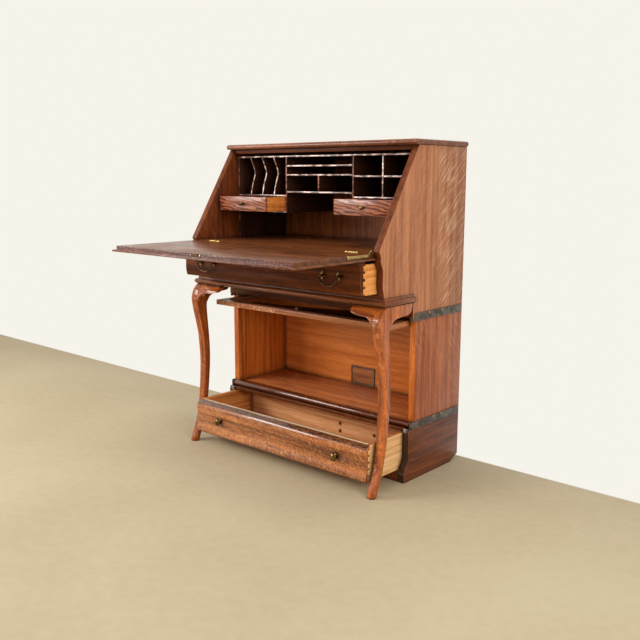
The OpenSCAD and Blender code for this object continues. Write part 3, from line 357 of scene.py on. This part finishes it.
finishes = {
    # Outer faces of the desk sides: partly faded and partly a painted sheen, paler than the inner faces.
    "side": oak("oak_side", "925838", "c8865c", "e8be94", 1.0, -0.82, 0.46, 0.1, spread=(0.2, 0.34),
                even=0.6),
    "book_side": oak("oak_book_side", "803e22", "be7248", "c88e62", 0.6, 0.5, 0.44, 0.15, fine=1.8,
                     flecks=0.4),
    "base_side": oak("oak_base_side", "4c2615", "884a2a", "966040", 0.12, 0.4, 0.4, 0.2, flecks=0.4),
    "base_edge": oak("oak_base_edge", "1c0c06", "3c1c0e", "4c2818", 0.1, 0.4, 0.3, 0.8, polish=0.1),
    "front": oak("oak_front", "361505", "74370f", "80421e", 0.2, 0.6, 0.36, 0.0, gloss=0.08),
    # On the base drawer front, 402216 is painted shade on the top and bottom rounds.
    "low_front": oak("oak_low_front", "5c240c", "d07a3a", "eaa668", 0.8, 0.8, 0.34, 1.0, fine=4.0,
                     even=0.7, flecks=0.75, rim_shade="402216", polish=0.1),
    "round": oak("oak_round", "3c160a", "7c3c1e", "a8623a", 0.3, 0.4, 0.2, 1.0, polish=0.1),
    "moulding": oak("oak_moulding", "40190a", "8c4a20", "a8623a", 0.3, 0.4, 0.3, 0.3, wear=0.8),
    "shelf": oak("oak_shelf", "a85c34", "ec9254", "f0a264", 0.4, 0.4, 0.3, 0.2),
    "door": oak("oak_door", "8a4825", "d08c5a", "e0aa80", 0.8, 0.4, 0.34, 0.2, fine=1.6, flecks=0.5),
    "top": oak("oak_top", "582a18", "94583a", "a87250", 0.4, 0.5, 0.26, 0.3),
    "writing": oak("oak_writing", "44200e", "90522a", "9a6238", 0.35, 0.4, 0.32, 0.15, worn="bc8a68",
                   wear=0.8, even=0.3),
    "fall_edge": oak("oak_fall_edge", "2a0e07", "743220", "c08c78", 0.6, 0.3, 0.3, 0.4, worn="c89070",
                     wear=0.9, even=0.6, fine=3.0, flecks=0.5),
    "plate_field": oak("oak_plate", "7a4222", "b8703e", "c0804c", 0.2, 0.3, 0.4, 0.1),
    "back": oak("oak_back", "5e2a10", "ac5e2c", "b46e3a", 0.35, 0.5, 0.42, 0.1),
    "carcase": oak("oak_carcase", "451b07", "7e3c14", "8c4c22", 0.4, 0.5, 0.42, 0.0),
    "inside": oak("oak_inside", "a84e1a", "ea8634", "f09646", 0.2, 0.4, 0.4, 0.1),
    # The bookcase back gets more painted shade in its hollows.
    "glow": oak("oak_glow", "c06428", "ea8c42", "f09a54", 0.25, 0.5, 0.4, 0.1, grime_and_shade=0.8),
    "leg": oak("oak_leg", "6c2e0a", "d87432", "e49450", 0.4, 0.35, 0.3, 0.5, flecks=0.5, polish=0.1),
    # Painted shade: a darker copy of the leg finish for the left leg, which stands in shade.
    "leg_painted_shade": oak("oak_leg_painted_shade", "5c2407", "b85c24", "cc7c3c", 0.4, 0.35, 0.3, 0.4, flecks=0.4,
                    polish=0.1),
    # The nest boards are painted nearly black as painted shade. Their pale front colour is partly wear
    # and partly a painted highlight; the uprights' is dimmer.
    "nest": oak("oak_nest", "200e07", "40200f", "4c2818", 0.2, 0.4, 0.3, 0.9, worn="b88068",
                front="f0cdbf", polish=0.12),
    "upright": oak("oak_upright", "200e07", "40200f", "4c2818", 0.2, 0.4, 0.38, 0.1, worn="9c6850",
                   front="9c6450"),
    "drawer": oak("oak_drawer", "c87226", "fcb064", "fcb868", 0.2, 0.3, 0.45, 0.1),
    "small_drawer": oak("oak_small_drawer", "b05a1c", "ea9042", "ee9a4c", 0.2, 0.3, 0.45, 0.1),
}
print("oak finishes:", ", ".join(finishes))

# %% [markdown]
# ## The small drawer fronts
#
# The two small fronts carry the showiest wood on the desk: a slice with a flame figure, dark purple
# brown with pinkish streaks that run down at a slant. A wave pattern gives the streaks, and strong
# distortion breaks their edges up.

# %% Flame figured fronts
def flame():
    """Figured veneer with slanting streaks under polish."""
    material = bpy.data.materials.new("flame_veneer")
    tree = shader(material)[0]
    grain = grain_place(tree)
    slant = put(tree, "Mapping", Vector=grain, Rotation=(0, 0, 0.5), Scale=(0.4, 1.5, 1))
    waves = put(tree, "TexWave", {"wave_profile": "SIN", "bands_direction": "Y"},
                Vector=slant.outputs[0], Scale=20, Distortion=8, Detail=4, Detail_Scale=1.8)
    clouds = noise(tree, grain, (14, 45, 45), 4, 1.2)
    streak = fade(tree, times(tree, waves.outputs["Fac"], clouds), 0.1, 0.5)
    threads = noise(tree, grain, (25, 480, 480), 3)
    ground = mix(tree, fade(tree, threads, 0.35, 0.65), rgb("50221a"), rgb("784028"))
    colour = mix(tree, times(tree, streak, 0.75), ground, rgb("bc7450"))
    # 180c0a is the colour of the painted shade and dirt in hollows.
    worn_and_shaded = aged_and_shaded(tree, colour, "c99a88", 0.7, "180c0a", 0.4, object_place(tree))
    varnish(material, worn_and_shaded["Colour"], threads, worn_and_shaded["Edge"], streak, 0.3, 0.25, 0.2 * MM)
    return material


finishes["flame"] = flame()
print("flame veneer is ready")

# %% [markdown]
# ## Pine
#
# The base drawer is a box of plain pine behind its oak front, with brown knots and hardly any varnish.
# Its sides are pale outside and orange inside. A knot is a spot where the distance to a scattered point
# is small. Most points are dropped by their random colour, because a board has a knot or two and not
# fifty. The three knots that show on the inside have places of their own.

# %% Pine finishes
KNOT_RIM, KNOT_HEART = 11 * MM, 3 * MM
SEEN_KNOTS = ((0.0707, 0.196, 0.1068), (0.0709, 0.196, 0.0783), (0.228, 0.196, 0.094))


def pine(name, dark, light, knot="5b3219", knots=(), grime_and_shade=0.7):
    """Bare pine with scattered knots, and more at the given points."""
    material = bpy.data.materials.new(name)
    tree = shader(material)[0]
    grain = grain_place(tree)
    place = object_place(tree)
    spots = put(tree, "Mapping", Vector=grain, Scale=(6, 11, 3))
    cells = put(tree, "TexVoronoi", Vector=spots.outputs[0], Scale=1.0).outputs
    draw = put(tree, "SeparateColor", Color=cells["Color"]).outputs[0]
    chosen = fade(tree, draw, 0.62, 0.64)
    near = times(tree, fade(tree, cells["Distance"], 0.13, 0.07), chosen)
    halo = times(tree, fade(tree, cells["Distance"], 0.4, 0.1), chosen)
    sway = noise(tree, grain, (3, 14, 14), 2)
    push = times(tree, calc(tree, "ADD", sway, times(tree, halo, 0.5)), 0.03)
    bent = combine(tree, "ADD", grain, put(tree, "CombineXYZ", Y=push, Z=push).outputs[0])
    rings = noise(tree, bent, (1.6, 90, 90), 4)
    threads = noise(tree, bent, (12, 500, 500), 3)
    tone = weigh(tree, rings, threads, 0.65)
    colour = mix(tree, fade(tree, tone, 0.36, 0.64), rgb(dark), rgb(light))
    colour = mix(tree, times(tree, halo, 0.35), colour, rgb(knot))
    for point in knots:
        away = combine(tree, "DISTANCE", place, point, "Value")
        near = calc(tree, "MAXIMUM", near, fade(tree, away, KNOT_RIM, KNOT_HEART))
    colour = mix(tree, near, colour, rgb(knot))
    # 3a2413 is the colour of the painted shade and dirt in hollows.
    worn_and_shaded = aged_and_shaded(tree, colour, "ecd0a4", 0.4, "3a2413", grime_and_shade, place)
    varnish(material, worn_and_shaded["Colour"], tone, worn_and_shaded["Edge"], near, 0.55, 0.05, 0.3 * MM)
    return material


finishes["pine"] = pine("pine_pale", "d8a064", "f6c68c")
# Painted light: the top faces of the drawer's ends are painted pale, with little painted shade, for the
# light that falls on them.
finishes["pine_top_painted_light"] = pine("pine_top_painted_light", "f0ca94", "ffe8c0", grime_and_shade=0.2)
finishes["pine_warm"] = pine("pine_warm", "d0844a", "f8bc86", "4a2712", SEEN_KNOTS)
finishes["pine_orange"] = pine("pine_orange", "b4642a", "e4944e", "4a2712")
# Painted shade: a darker pine for the runners and the drawer bottoms, which lie in shade.
finishes["pine_shade"] = pine("pine_painted_shade", "a06a35", "cc9658", "3a1f10")
print("pine is ready")

# %% [markdown]
# ## Metal, enamel and glass
#
# The brass of the pulls and knobs has gone brown, and the hinges and screws are still bright. The lock
# plate is dark brass with pale steel screws. The straps that tie the sections are steel under a dark
# enamel. The door has one pane of plain glass with a little dust.

# %% Metal and glass
def metal(name, bright, dull, tarnish, rough, metallic=1.0, grain=90):
    """Metal with clouds of tarnish, so many to the metre."""
    material = bpy.data.materials.new(name)
    tree, main = shader(material)
    place = object_place(tree)
    clouds = noise(tree, place, (grain, grain, grain), 5)
    specks = noise(tree, place, (900, 900, 900), 2)
    mask = fade(tree, weigh(tree, clouds, specks, 0.8), 0.42, 0.62)
    colour = mix(tree, times(tree, mask, tarnish), rgb(bright), rgb(dull))
    worn_and_shaded = aged_and_shaded(tree, colour, bright, 0.6, "1a120a", 0.7, place)
    feed(tree, main.inputs["Base Color"], worn_and_shaded["Colour"])
    feed(tree, main.inputs["Roughness"], fade(tree, mask, 0, 1, rough, rough + 0.2))
    main.inputs["Metallic"].default_value = metallic
    bump = put(tree, "Bump", Strength=0.2, Distance=0.2 * MM, Height=specks)
    feed(tree, main.inputs["Normal"], bump.outputs[0])
    return material


def pane():
    """Clear glass with a veil of dust."""
    material = bpy.data.materials.new("window_glass")
    tree, main = shader(material)
    dust = noise(tree, object_place(tree), (30, 30, 30), 5)
    veil = mix(tree, fade(tree, dust, 0.4, 0.7), rgb("eef4f1"), rgb("dfe6e0"))
    feed(tree, main.inputs["Base Color"], veil)
    feed(tree, main.inputs["Roughness"], fade(tree, dust, 0.4, 0.7, 0.02, 0.08))
    main.inputs["Transmission Weight"].default_value = 1.0
    main.inputs["IOR"].default_value = 1.5
    return material


finishes["brass"] = metal("old_brass", "84643c", "33230f", 0.9, 0.28)
finishes["dark_brass"] = metal("dark_brass", "5c4630", "24180c", 0.85, 0.32)
finishes["screw_steel"] = metal("screw_steel", "dcd8ce", "9c968a", 0.4, 0.25)
finishes["bright_brass"] = metal("rubbed_brass", "cdb072", "8a6c3c", 0.6, 0.25)
finishes["strap"] = metal("dark_enamel", "5c5044", "362e26", 0.8, 0.36, 0.25, grain=25)
finishes["glass"] = pane()
print("finishes in all:", len(finishes))

# %% [markdown]
# ## Soft edges and grain
#
# A board from a saw has knife edges. A board on an old desk hasn't: its edges are rounded by about a
# millimetre, and that thin round is what catches the light. Each node of the frame is copied, its loose
# triangles are joined, its edges are bevelled, and the copy stands in for the node.
#
# Then the grain is laid. A node may hold several boards, so the mesh is split into its separate boards
# first. In each one the grain follows the longest side unless the list below says otherwise, and each
# board starts at another place in the tree, so no two look alike.

# %% Helpers for boards
AXES = "xyz"
NEXT_BOARD = 0.618
APART = (3.1, 1.7, 0.9)
WELD = 0.01 * MM
FLAT_ENOUGH = math.radians(0.6)
boards_cut = 0
strays_back = 0


def deselect():
    """Nothing selected, in object mode."""
    if bpy.context.mode != "OBJECT":
        bpy.ops.object.mode_set(mode="OBJECT")
    bpy.ops.object.select_all(action="DESELECT")


def pick(piece):
    """Only this piece selected and active."""
    deselect()
    piece.select_set(True)
    bpy.context.view_layer.objects.active = piece


def separate_boards(mesh):
    """Which board each vertex belongs to, counted from 0."""
    parent = list(range(len(mesh.vertices)))

    def root(i):
        while parent[i] != i:
            parent[i] = parent[parent[i]]
            i = parent[i]
        return i

    for edge_ends in mesh.edges:
        a, b = (root(i) for i in edge_ends.vertices)
        parent[a] = b
    numbers = {}
    return [numbers.setdefault(root(i), len(numbers)) for i in range(len(parent))]


def lay_grain(piece, along=None, turned=None):
    """Writes the grain attribute. along names the grain axis, turned gives one for a face's centre."""
    global boards_cut
    mesh = piece.data
    board = separate_boards(mesh)
    corners = {}
    for vertex in mesh.vertices:
        low, high = corners.setdefault(board[vertex.index], (vertex.co.copy(), vertex.co.copy()))
        for i in range(3):
            low[i] = min(low[i], vertex.co[i])
            high[i] = max(high[i], vertex.co[i])
    values = [0.0] * (3 * len(mesh.loops))
    for face in mesh.polygons:
        number = board[mesh.loops[face.loop_start].vertex_index]
        low, high = corners[number]
        size = high - low
        axis = (turned(face.center) if turned else None) or along
        order = sorted(range(3), key=lambda i: (-1 if AXES[i] == axis else 0, -size[i]))
        start = (boards_cut + number) * NEXT_BOARD
        for loop in face.loop_indices:
            co = mesh.vertices[mesh.loops[loop].vertex_index].co
            for i in range(3):
                values[3 * loop + i] = co[order[i]] + start * APART[i]
    mesh.attributes.new("grain", "FLOAT_VECTOR", "CORNER").data.foreach_set("vector", values)
    boards_cut += len(corners)


def dress(node, finish, edge, along=None, turned=None, other=None, where=None, smooth=32):
    """Copy of a CAD node with soft edges, grain and a finish, which stands in for the node.

    Faces for which where(centre, normal) is true get the other finish. A bevel can throw a point far out
    where thin faces meet, so a point that has left the surface is put back on it.
    """
    global strays_back
    source = frame["nodes"][node]
    piece = bpy.data.objects.new(node + "_finished", source.data.copy())
    scene.collection.objects.link(piece)
    pick(piece)
    bpy.ops.object.mode_set(mode="EDIT")
    bpy.ops.mesh.select_all(action="SELECT")
    bpy.ops.mesh.remove_doubles(threshold=WELD)
    bpy.ops.mesh.customdata_custom_splitnormals_clear()
    bpy.ops.mesh.dissolve_limited(angle_limit=FLAT_ENOUGH)
    bpy.ops.object.mode_set(mode="OBJECT")
    if edge:
        soft = piece.modifiers.new("soft_edges", "BEVEL")
        soft.width = edge * MM
        soft.segments = 2
        soft.limit_method = "ANGLE"
        soft.angle_limit = math.radians(smooth)
        soft.use_clamp_overlap = False
        bpy.ops.object.modifier_apply(modifier=soft.name)
        for vertex in piece.data.vertices:
            place = source.closest_point_on_mesh(vertex.co)[1]
            if (place - vertex.co).length > edge * MM:
                vertex.co = place
                strays_back += 1
    bpy.ops.object.shade_smooth_by_angle(angle=math.radians(smooth))
    piece.data.materials.clear()
    piece.data.materials.append(finishes[finish])
    if other:
        piece.data.materials.append(finishes[other])
    for face in piece.data.polygons:
        face.material_index = 1 if other and where(face.center, face.normal) else 0
    lay_grain(piece, along, turned)
    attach(piece, body_of[node])
    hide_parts(node)


print("helpers for boards are ready")

# %% Which way a face looks
SQUARE_ON = 0.7


def outward(centre, normal):
    """True on the outer face of a side."""
    return normal.x * centre.x > 0 and abs(normal.x) > SQUARE_ON


def forward(centre, normal):
    """True on a front edge or face."""
    return normal.y < -SQUARE_ON


def backward(centre, normal):
    """True on the face at the rear."""
    return normal.y > SQUARE_ON


def upward(centre, normal):
    """True on a top edge or face."""
    return normal.z > SQUARE_ON


print("a face counts as square on from", SQUARE_ON)

# %% [markdown]
# ## The case
#
# The outer faces of the sides are faded and partly a painted sheen, and the inner faces are not, so a
# side has two finishes, and the direction of a face says which one it gets. The base ends are nearly
# black on their shaped front edge. The moulding is three mitred lengths: its grain runs across the
# front and turns the corner with the mitre. The leg on the left stands in the shade of the desk, and
# that shade is painted on it as a darker copy of the leg finish.

# %% Case boards
for side in ("left", "right"):
    # The outer faces get the paler finish, partly faded and partly a painted sheen.
    dress("desk_side_" + side, "carcase", 1.0, "z", other="side", where=outward)
    dress("bookcase_side_" + side, "inside", 1.0, "z", other="book_side", where=outward)
    dress("base_end_" + side, "base_edge", 1.4, "y", other="base_side", where=outward)

dress("desk_top", "top", 0.0)
dress("top_rail", "front", 0.8)
dress("desk_back", "back", 0.5, "z")
dress("writing_floor", "writing", 0.5, smooth=40)
dress("drawer_bed", "carcase", 0.8)
dress("lower_front_rail", "carcase", 0.8)
dress("lower_board", "carcase", 0.5)
dress("bookcase_back", "glow", 0.5, other="carcase", where=backward)
dress("bookcase_floor", "shelf", 0.5)
dress("bookcase_nosing", "round", 0.5)
dress("door_guides", "inside", 0.8)
dress("base_back", "carcase", 0.5)
dress("base_rails", "carcase", 1.0)
dress("base_runners", "pine_shade", 0.8)
print("boards so far:", boards_cut)

# %% Moulding and legs
MOULDING_DEPTH = 25 * MM
moulding_low, moulding_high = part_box("desk_moulding")
inner_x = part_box("desk_side_right")[0].x


def past_mitre(centre):
    """The grain axis of the moulding at a point: it turns at the mitre."""
    out = (abs(centre.x) - inner_x) / (moulding_high.x - inner_x)
    ahead = (centre.y - moulding_low.y) / MOULDING_DEPTH
    return "y" if out + ahead > 1 else "x"


dress("desk_moulding", "moulding", 0.6, turned=past_mitre)
# The left leg gets the darker copy as painted shade.
dress("leg_left", "leg_painted_shade", 0.9, "z", smooth=30)
dress("leg_right", "leg", 0.9, "z", smooth=30)
dress("front_brackets", "leg", 1.0, "x", smooth=30)
print("moulding, legs and brackets are finished")

# %% [markdown]
# ## The nest of pigeonholes
#
# Its boards are only six millimetres thick, and their front edges are rounded over almost to a half
# circle. They are the brightest lines in the whole desk, because the inside behind them is so dark: the
# boards are painted nearly black as painted shade, and the pale of their edges is partly wear and partly
# a painted highlight.

# %% Nest
for node in ("nest_top", "nest_side_shelves", "nest_centre_shelves", "nest_shaped_dividers",
             "nest_right_cells"):
    dress(node, "nest", 1.6)
dress("nest_ends", "upright", 1.0)
dress("nest_partitions", "upright", 1.6)
dress("nest_centre_divider", "upright", 1.6)
print("boards so far:", boards_cut)

# %% [markdown]
# ## What moves
#
# The fall is dark on both faces and has a redder, more worn front edge. The desk drawer has an oak front
# and orange sides. The base drawer has an oak front on a pine box, orange inside and pale outside. The
# finish goes on the pieces exactly as on the case.

# %% Fall, drawers and door
dress("fall_panel", "writing", 0.7, "x", other="fall_edge", where=forward)
dress("desk_drawer_front", "front", 0.9)
dress("desk_drawer_sides", "drawer", 0.7)
dress("desk_drawer_back", "drawer", 0.7)
dress("desk_drawer_bottom", "pine_shade", 0.4)
dress("base_drawer_front", "low_front", 0.9)
dress("base_drawer_sides", "pine_orange", 0.7, other="pine", where=outward)
# The top faces of the ends get the pale pine as painted light.
dress("base_drawer_ends", "pine_warm", 0.7, other="pine_top_painted_light", where=upward)
dress("base_drawer_bottom", "pine_shade", 0.4)
for side in ("left", "right"):
    dress("small_front_" + side, "flame", 0.8)
    dress("small_box_" + side, "small_drawer", 0.6, "y")
dress("door_stiles", "door", 0.9)
dress("door_rails", "door", 0.9)
dress("door_knob", "writing", 0.0, smooth=50)
print("boards in all:", boards_cut)

# %% Metal and glass pieces
metal_pieces = {
    "floor_hinge_leaves": "bright_brass", "fall_hinge_leaves": "bright_brass",
    "lock_plate": "dark_brass", "lid_stay": "bright_brass", "desk_pull_posts": "brass",
    "desk_bail_left": "dark_brass", "desk_bail_right": "dark_brass", "base_drawer_knobs": "brass",
    "small_knob_left": "brass", "small_knob_right": "brass",
}
for node, finish in metal_pieces.items():
    dress(node, finish, 0.0, smooth=40)
dress("side_straps", "strap", 0.3, smooth=40)
dress("door_glass", "glass", 0.3)
print("every node has its finish, points put back:", strays_back)

# %% [markdown]
# ## Small screws
#
# The straps, the hinges, the stay and the lock plate are screwed on. A screw here is a short cylinder
# with a rounded rim and a slot sawn across its head. It is made once, upright, and each copy is turned
# and put in place before its own place is baked into the mesh.
#
# Places are written as width, depth and height in millimetres, with the depth counted forward from the
# back of the case, as a joiner would measure it.

# %% Helper for new pieces
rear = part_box("desk_side_right")[1].y


def at(x, depth, height):
    """Point in the frame for a width, depth and height in millimetres."""
    return Vector((x * MM, rear - depth * MM, height * MM))


def keep(piece, name, finish, body):
    """Bakes the place of a new piece into its mesh and fixes it to a body."""
    pick(piece)
    bpy.ops.object.transform_apply(location=True, rotation=True, scale=True)
    bpy.ops.object.shade_smooth_by_angle(angle=math.radians(40))
    piece.name = name
    piece.data.materials.clear()
    piece.data.materials.append(finishes[finish])
    lay_grain(piece)
    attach(piece, body)
    return piece


print("the back of the case is at", round(rear, 3))

# %% One screw
deselect()
bpy.ops.mesh.primitive_cylinder_add(vertices=28, radius=1.0, depth=0.7)
master = bpy.context.active_object
rim = master.modifiers.new("rim", "BEVEL")
rim.width = 0.33
rim.segments = 3
rim.angle_limit = math.radians(50)
rim.limit_method = "ANGLE"
bpy.ops.object.modifier_apply(modifier=rim.name)
bpy.ops.mesh.primitive_cube_add(size=1, location=(0, 0, 0.33), scale=(0.26, 2.4, 0.44))
saw = bpy.context.active_object
pick(master)
slit = master.modifiers.new("slit", "BOOLEAN")
slit.object = saw
slit.operation = "DIFFERENCE"
bpy.ops.object.modifier_apply(modifier=slit.name)
pick(saw)
bpy.ops.object.delete()
master.name = "screw_pattern"
print("one screw has", len(master.data.polygons), "faces")

# %% All the screws
RIGHT, FRONT, UP = (1, 0, 0), (0, -1, 0), (0, 0, 1)
LEAF_SCREW_FROM_PIN = 12.5
screws = 0


def screw(place, way, radius, body, finish="bright_brass", turn=35):
    """Copy of the screw with its head toward way, and its slot turned by so many degrees."""
    global screws
    pick(master)
    bpy.ops.object.duplicate()
    piece = bpy.context.active_object
    piece.scale = (radius * MM, radius * MM, radius * MM)
    piece.location = place
    upright = Vector(way).to_track_quat("Z", "Y").to_matrix().to_4x4()
    piece.rotation_euler = (upright @ Matrix.Rotation(math.radians(turn), 4, "Z")).to_euler()
    screws += 1
    keep(piece, f"screw_{screws}", finish, body)


# Straps, the same on both sides: depth, height, radius and finish.
strap_screws = (
    (202, 557, 3.5, "bright_brass"), (127, 556, 3.5, "bright_brass"), (150, 541, 3.5, "bright_brass"),
    (67, 549, 2.9, "strap"), (26, 557, 2.9, "strap"), (162, 195, 2.9, "bright_brass"),
    (116, 195, 2.9, "bright_brass"), (139, 179, 2.9, "strap"), (30, 195, 2.9, "strap"))
strap_face = 1000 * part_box("side_straps")[1].x
for way in (-1, 1):
    for depth, height, radius, finish in strap_screws:
        screw(at(way * strap_face, depth, height), (way, 0, 0), radius, "case", finish,
              turn=depth * 7)

# Hinges: three screws in each leaf, on the floor's side of the pin and on the fall's.
leaf_top = 1000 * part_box("fall_panel")[1].z
hinge_line = 1000 * (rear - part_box("writing_floor")[0].y) + 0.3
for x in (-333, -318, -303, 303, 318, 333):
    screw(at(x, hinge_line - LEAF_SCREW_FROM_PIN, leaf_top), UP, 2.1, "case", turn=x * 3)
    screw(at(x, hinge_line + LEAF_SCREW_FROM_PIN, leaf_top), UP, 2.1, "fall", turn=x * 5)

# Lid stay, lock plate and the partition of the nest.
stay_face = 1000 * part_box("lid_stay")[1].x
screw(at(stay_face - 1, hinge_line + 124, leaf_top - 4), RIGHT, 3.6, "fall")
screw(at(stay_face, hinge_line + 13, leaf_top + 8), RIGHT, 2.2, "fall", turn=80)
lock_low, lock_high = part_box("lock_plate")
for x in (-22, 22):
    screw(Vector((x * MM, lock_low.y, (lock_low.z + lock_high.z) / 2)), FRONT, 2.6, "fall",
          "screw_steel")
partition = 1000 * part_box("nest_centre_shelves")[0].x
screw(at(partition, 240, 868), RIGHT, 2.3, "case", turn=10)
pick(master)
bpy.ops.object.delete()
print("screws:", screws)

# %% [markdown]
# ## A framed plate on the back
#
# A small plate is fixed to the back of the bookcase section. It has a near-black raised frame round a
# plain brown field.

# %% Plate
PLATE_THICK, FRAME_WIDTH, FIELD_SUNK = 3, 4.5, 1.8


def plate_maker(low, high, rim_width, sink):
    """Flat plate between two corners: its front face is inset, and the field sinks a little."""
    deselect()
    bpy.ops.mesh.primitive_cube_add(size=1, location=(low + high) / 2, scale=high - low)
    piece = bpy.context.active_object
    bpy.ops.object.transform_apply(location=True, rotation=True, scale=True)
    bpy.ops.object.mode_set(mode="EDIT")
    bpy.ops.mesh.select_all(action="DESELECT")
    bpy.ops.object.mode_set(mode="OBJECT")
    for face in piece.data.polygons:
        face.select = forward(face.center, face.normal)
    bpy.ops.object.mode_set(mode="EDIT")
    bpy.ops.mesh.inset(thickness=rim_width * MM, depth=0)
    bpy.ops.mesh.extrude_region_move(TRANSFORM_OT_translate={"value": (0, sink * MM, 0)})
    bpy.ops.object.mode_set(mode="OBJECT")
    return piece


back_face = 1000 * (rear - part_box("bookcase_back")[0].y)
plate = plate_maker(at(-47, back_face + PLATE_THICK, 202), at(67, back_face, 270), FRAME_WIDTH,
                    FIELD_SUNK)
field = [face.index for face in plate.data.polygons if face.select]
plate = keep(plate, "bare_plate", "strap", "case")
plate.data.materials.append(finishes["plate_field"])
for index in field:
    plate.data.polygons[index].material_index = 1
print("plate faces:", len(plate.data.polygons), "field:", len(field))

# %% [markdown]
# ## Floor and light
#
# The desk stands on a plain pale floor under soft light. A wide lamp hangs on the left in front, like a
# window, and a low strip under it reaches the drawers. Weaker lamps fill the right side and the front,
# one more hangs overhead, and the sky fills the rest. The camera, polished wood and glass see a plain
# warm white all round.

# %% Floor
FLOOR_WIDTH = 14
WHITE_STARTS_BEHIND = 30 * MM


def eye_rays(tree):
    """1 for rays that come from the camera or were mirrored or let through on the way, else 0."""
    seen = put(tree, "LightPath").outputs
    bounced = calc(tree, "MAXIMUM", seen["Is Glossy Ray"], seen["Is Transmission Ray"])
    return calc(tree, "MAXIMUM", seen["Is Camera Ray"], bounced)


def finish_between(tree, factor, first, second, output):
    """Links a mix of two shader nodes to the output node."""
    both = put(tree, "MixShader", Fac=factor)
    tree.links.new(first.outputs[0], both.inputs[1])
    tree.links.new(second.outputs[0], both.inputs[2])
    tree.links.new(both.outputs[0], tree.nodes[output].inputs["Surface"])


def pale_floor(centre_y):
    """Pale stone colour in front, and behind the desk a warm white that is seen evenly."""
    material = bpy.data.materials.new("pale_floor")
    tree, main = shader(material)
    place = object_place(tree)
    depth = put(tree, "SeparateXYZ", Vector=place).outputs["Y"]
    clouds = noise(tree, place, (1.3, 1.3, 1.3), 5)
    grit = noise(tree, place, (30, 30, 30), 4)
    tone = weigh(tree, clouds, grit, 0.7)
    stone = mix(tree, fade(tree, tone, 0.3, 0.7), rgb("b9a785"), rgb("c6b695"))
    behind = fade(tree, depth, centre_y, centre_y + 12 * MM)
    feed(tree, main.inputs["Base Color"], mix(tree, behind, stone, rgb(WARM_WHITE)))
    main.inputs["Roughness"].default_value = 0.75
    even = put(tree, "Emission", Color=rgb(WARM_WHITE), Strength=1.0)
    finish_between(tree, times(tree, behind, eye_rays(tree)), main, even, "Material Output")
    return material


deselect()
bpy.ops.mesh.primitive_plane_add(size=FLOOR_WIDTH, location=(0, 0, 0))
floor = bpy.context.active_object
floor.name = "floor"
floor.data.materials.append(pale_floor(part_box("desk_back")[1].y + WHITE_STARTS_BEHIND))
print("the floor is", tuple(round(d, 1) for d in floor.dimensions))

# %% Lamps and sky
def lamp(name, width, height, power, place, target, colour=(1, 1, 1)):
    """Soft lamp, a lit rectangle that looks at a point."""
    data = bpy.data.lights.new(name, "AREA")
    data.shape = "RECTANGLE"
    data.size = width
    data.size_y = height
    data.energy = power
    data.color = colour
    made = bpy.data.objects.new(name, data)
    made.location = place
    made.rotation_euler = (Vector(target) - Vector(place)).to_track_quat("-Z", "Y").to_euler()
    scene.collection.objects.link(made)


lamp("window", 1.9, 0.9, 74, (-2.2, -2.3, 1.7), (0, 0, 0.3), (1, 0.98, 0.95))
lamp("low_strip", 1.8, 0.15, 8, (-2.3, -2.4, 0.4), (0, 0, 0.15))
lamp("right_fill", 1.8, 1.8, 48, (3.0, -1.0, 1.6), (0.2, 0, 0.6))
lamp("front_fill", 1.2, 1.2, 8, (1.0, -3.0, 1.3), (0, 0, 0.4))
lamp("overhead", 1.4, 1.4, 20, (0.2, -0.9, 2.9), (0.1, -0.1, 0.7))

sky = bpy.data.worlds.new("studio_sky")
scene.world = sky
sky.use_nodes = True
sky_tree = sky.node_tree
level = put(sky_tree, "Background", Color=rgb("ffffff"), Strength=0.45)
seen_white = put(sky_tree, "Background", Color=rgb(WARM_WHITE), Strength=1.0)
finish_between(sky_tree, eye_rays(sky_tree), level, seen_white, "World Output")
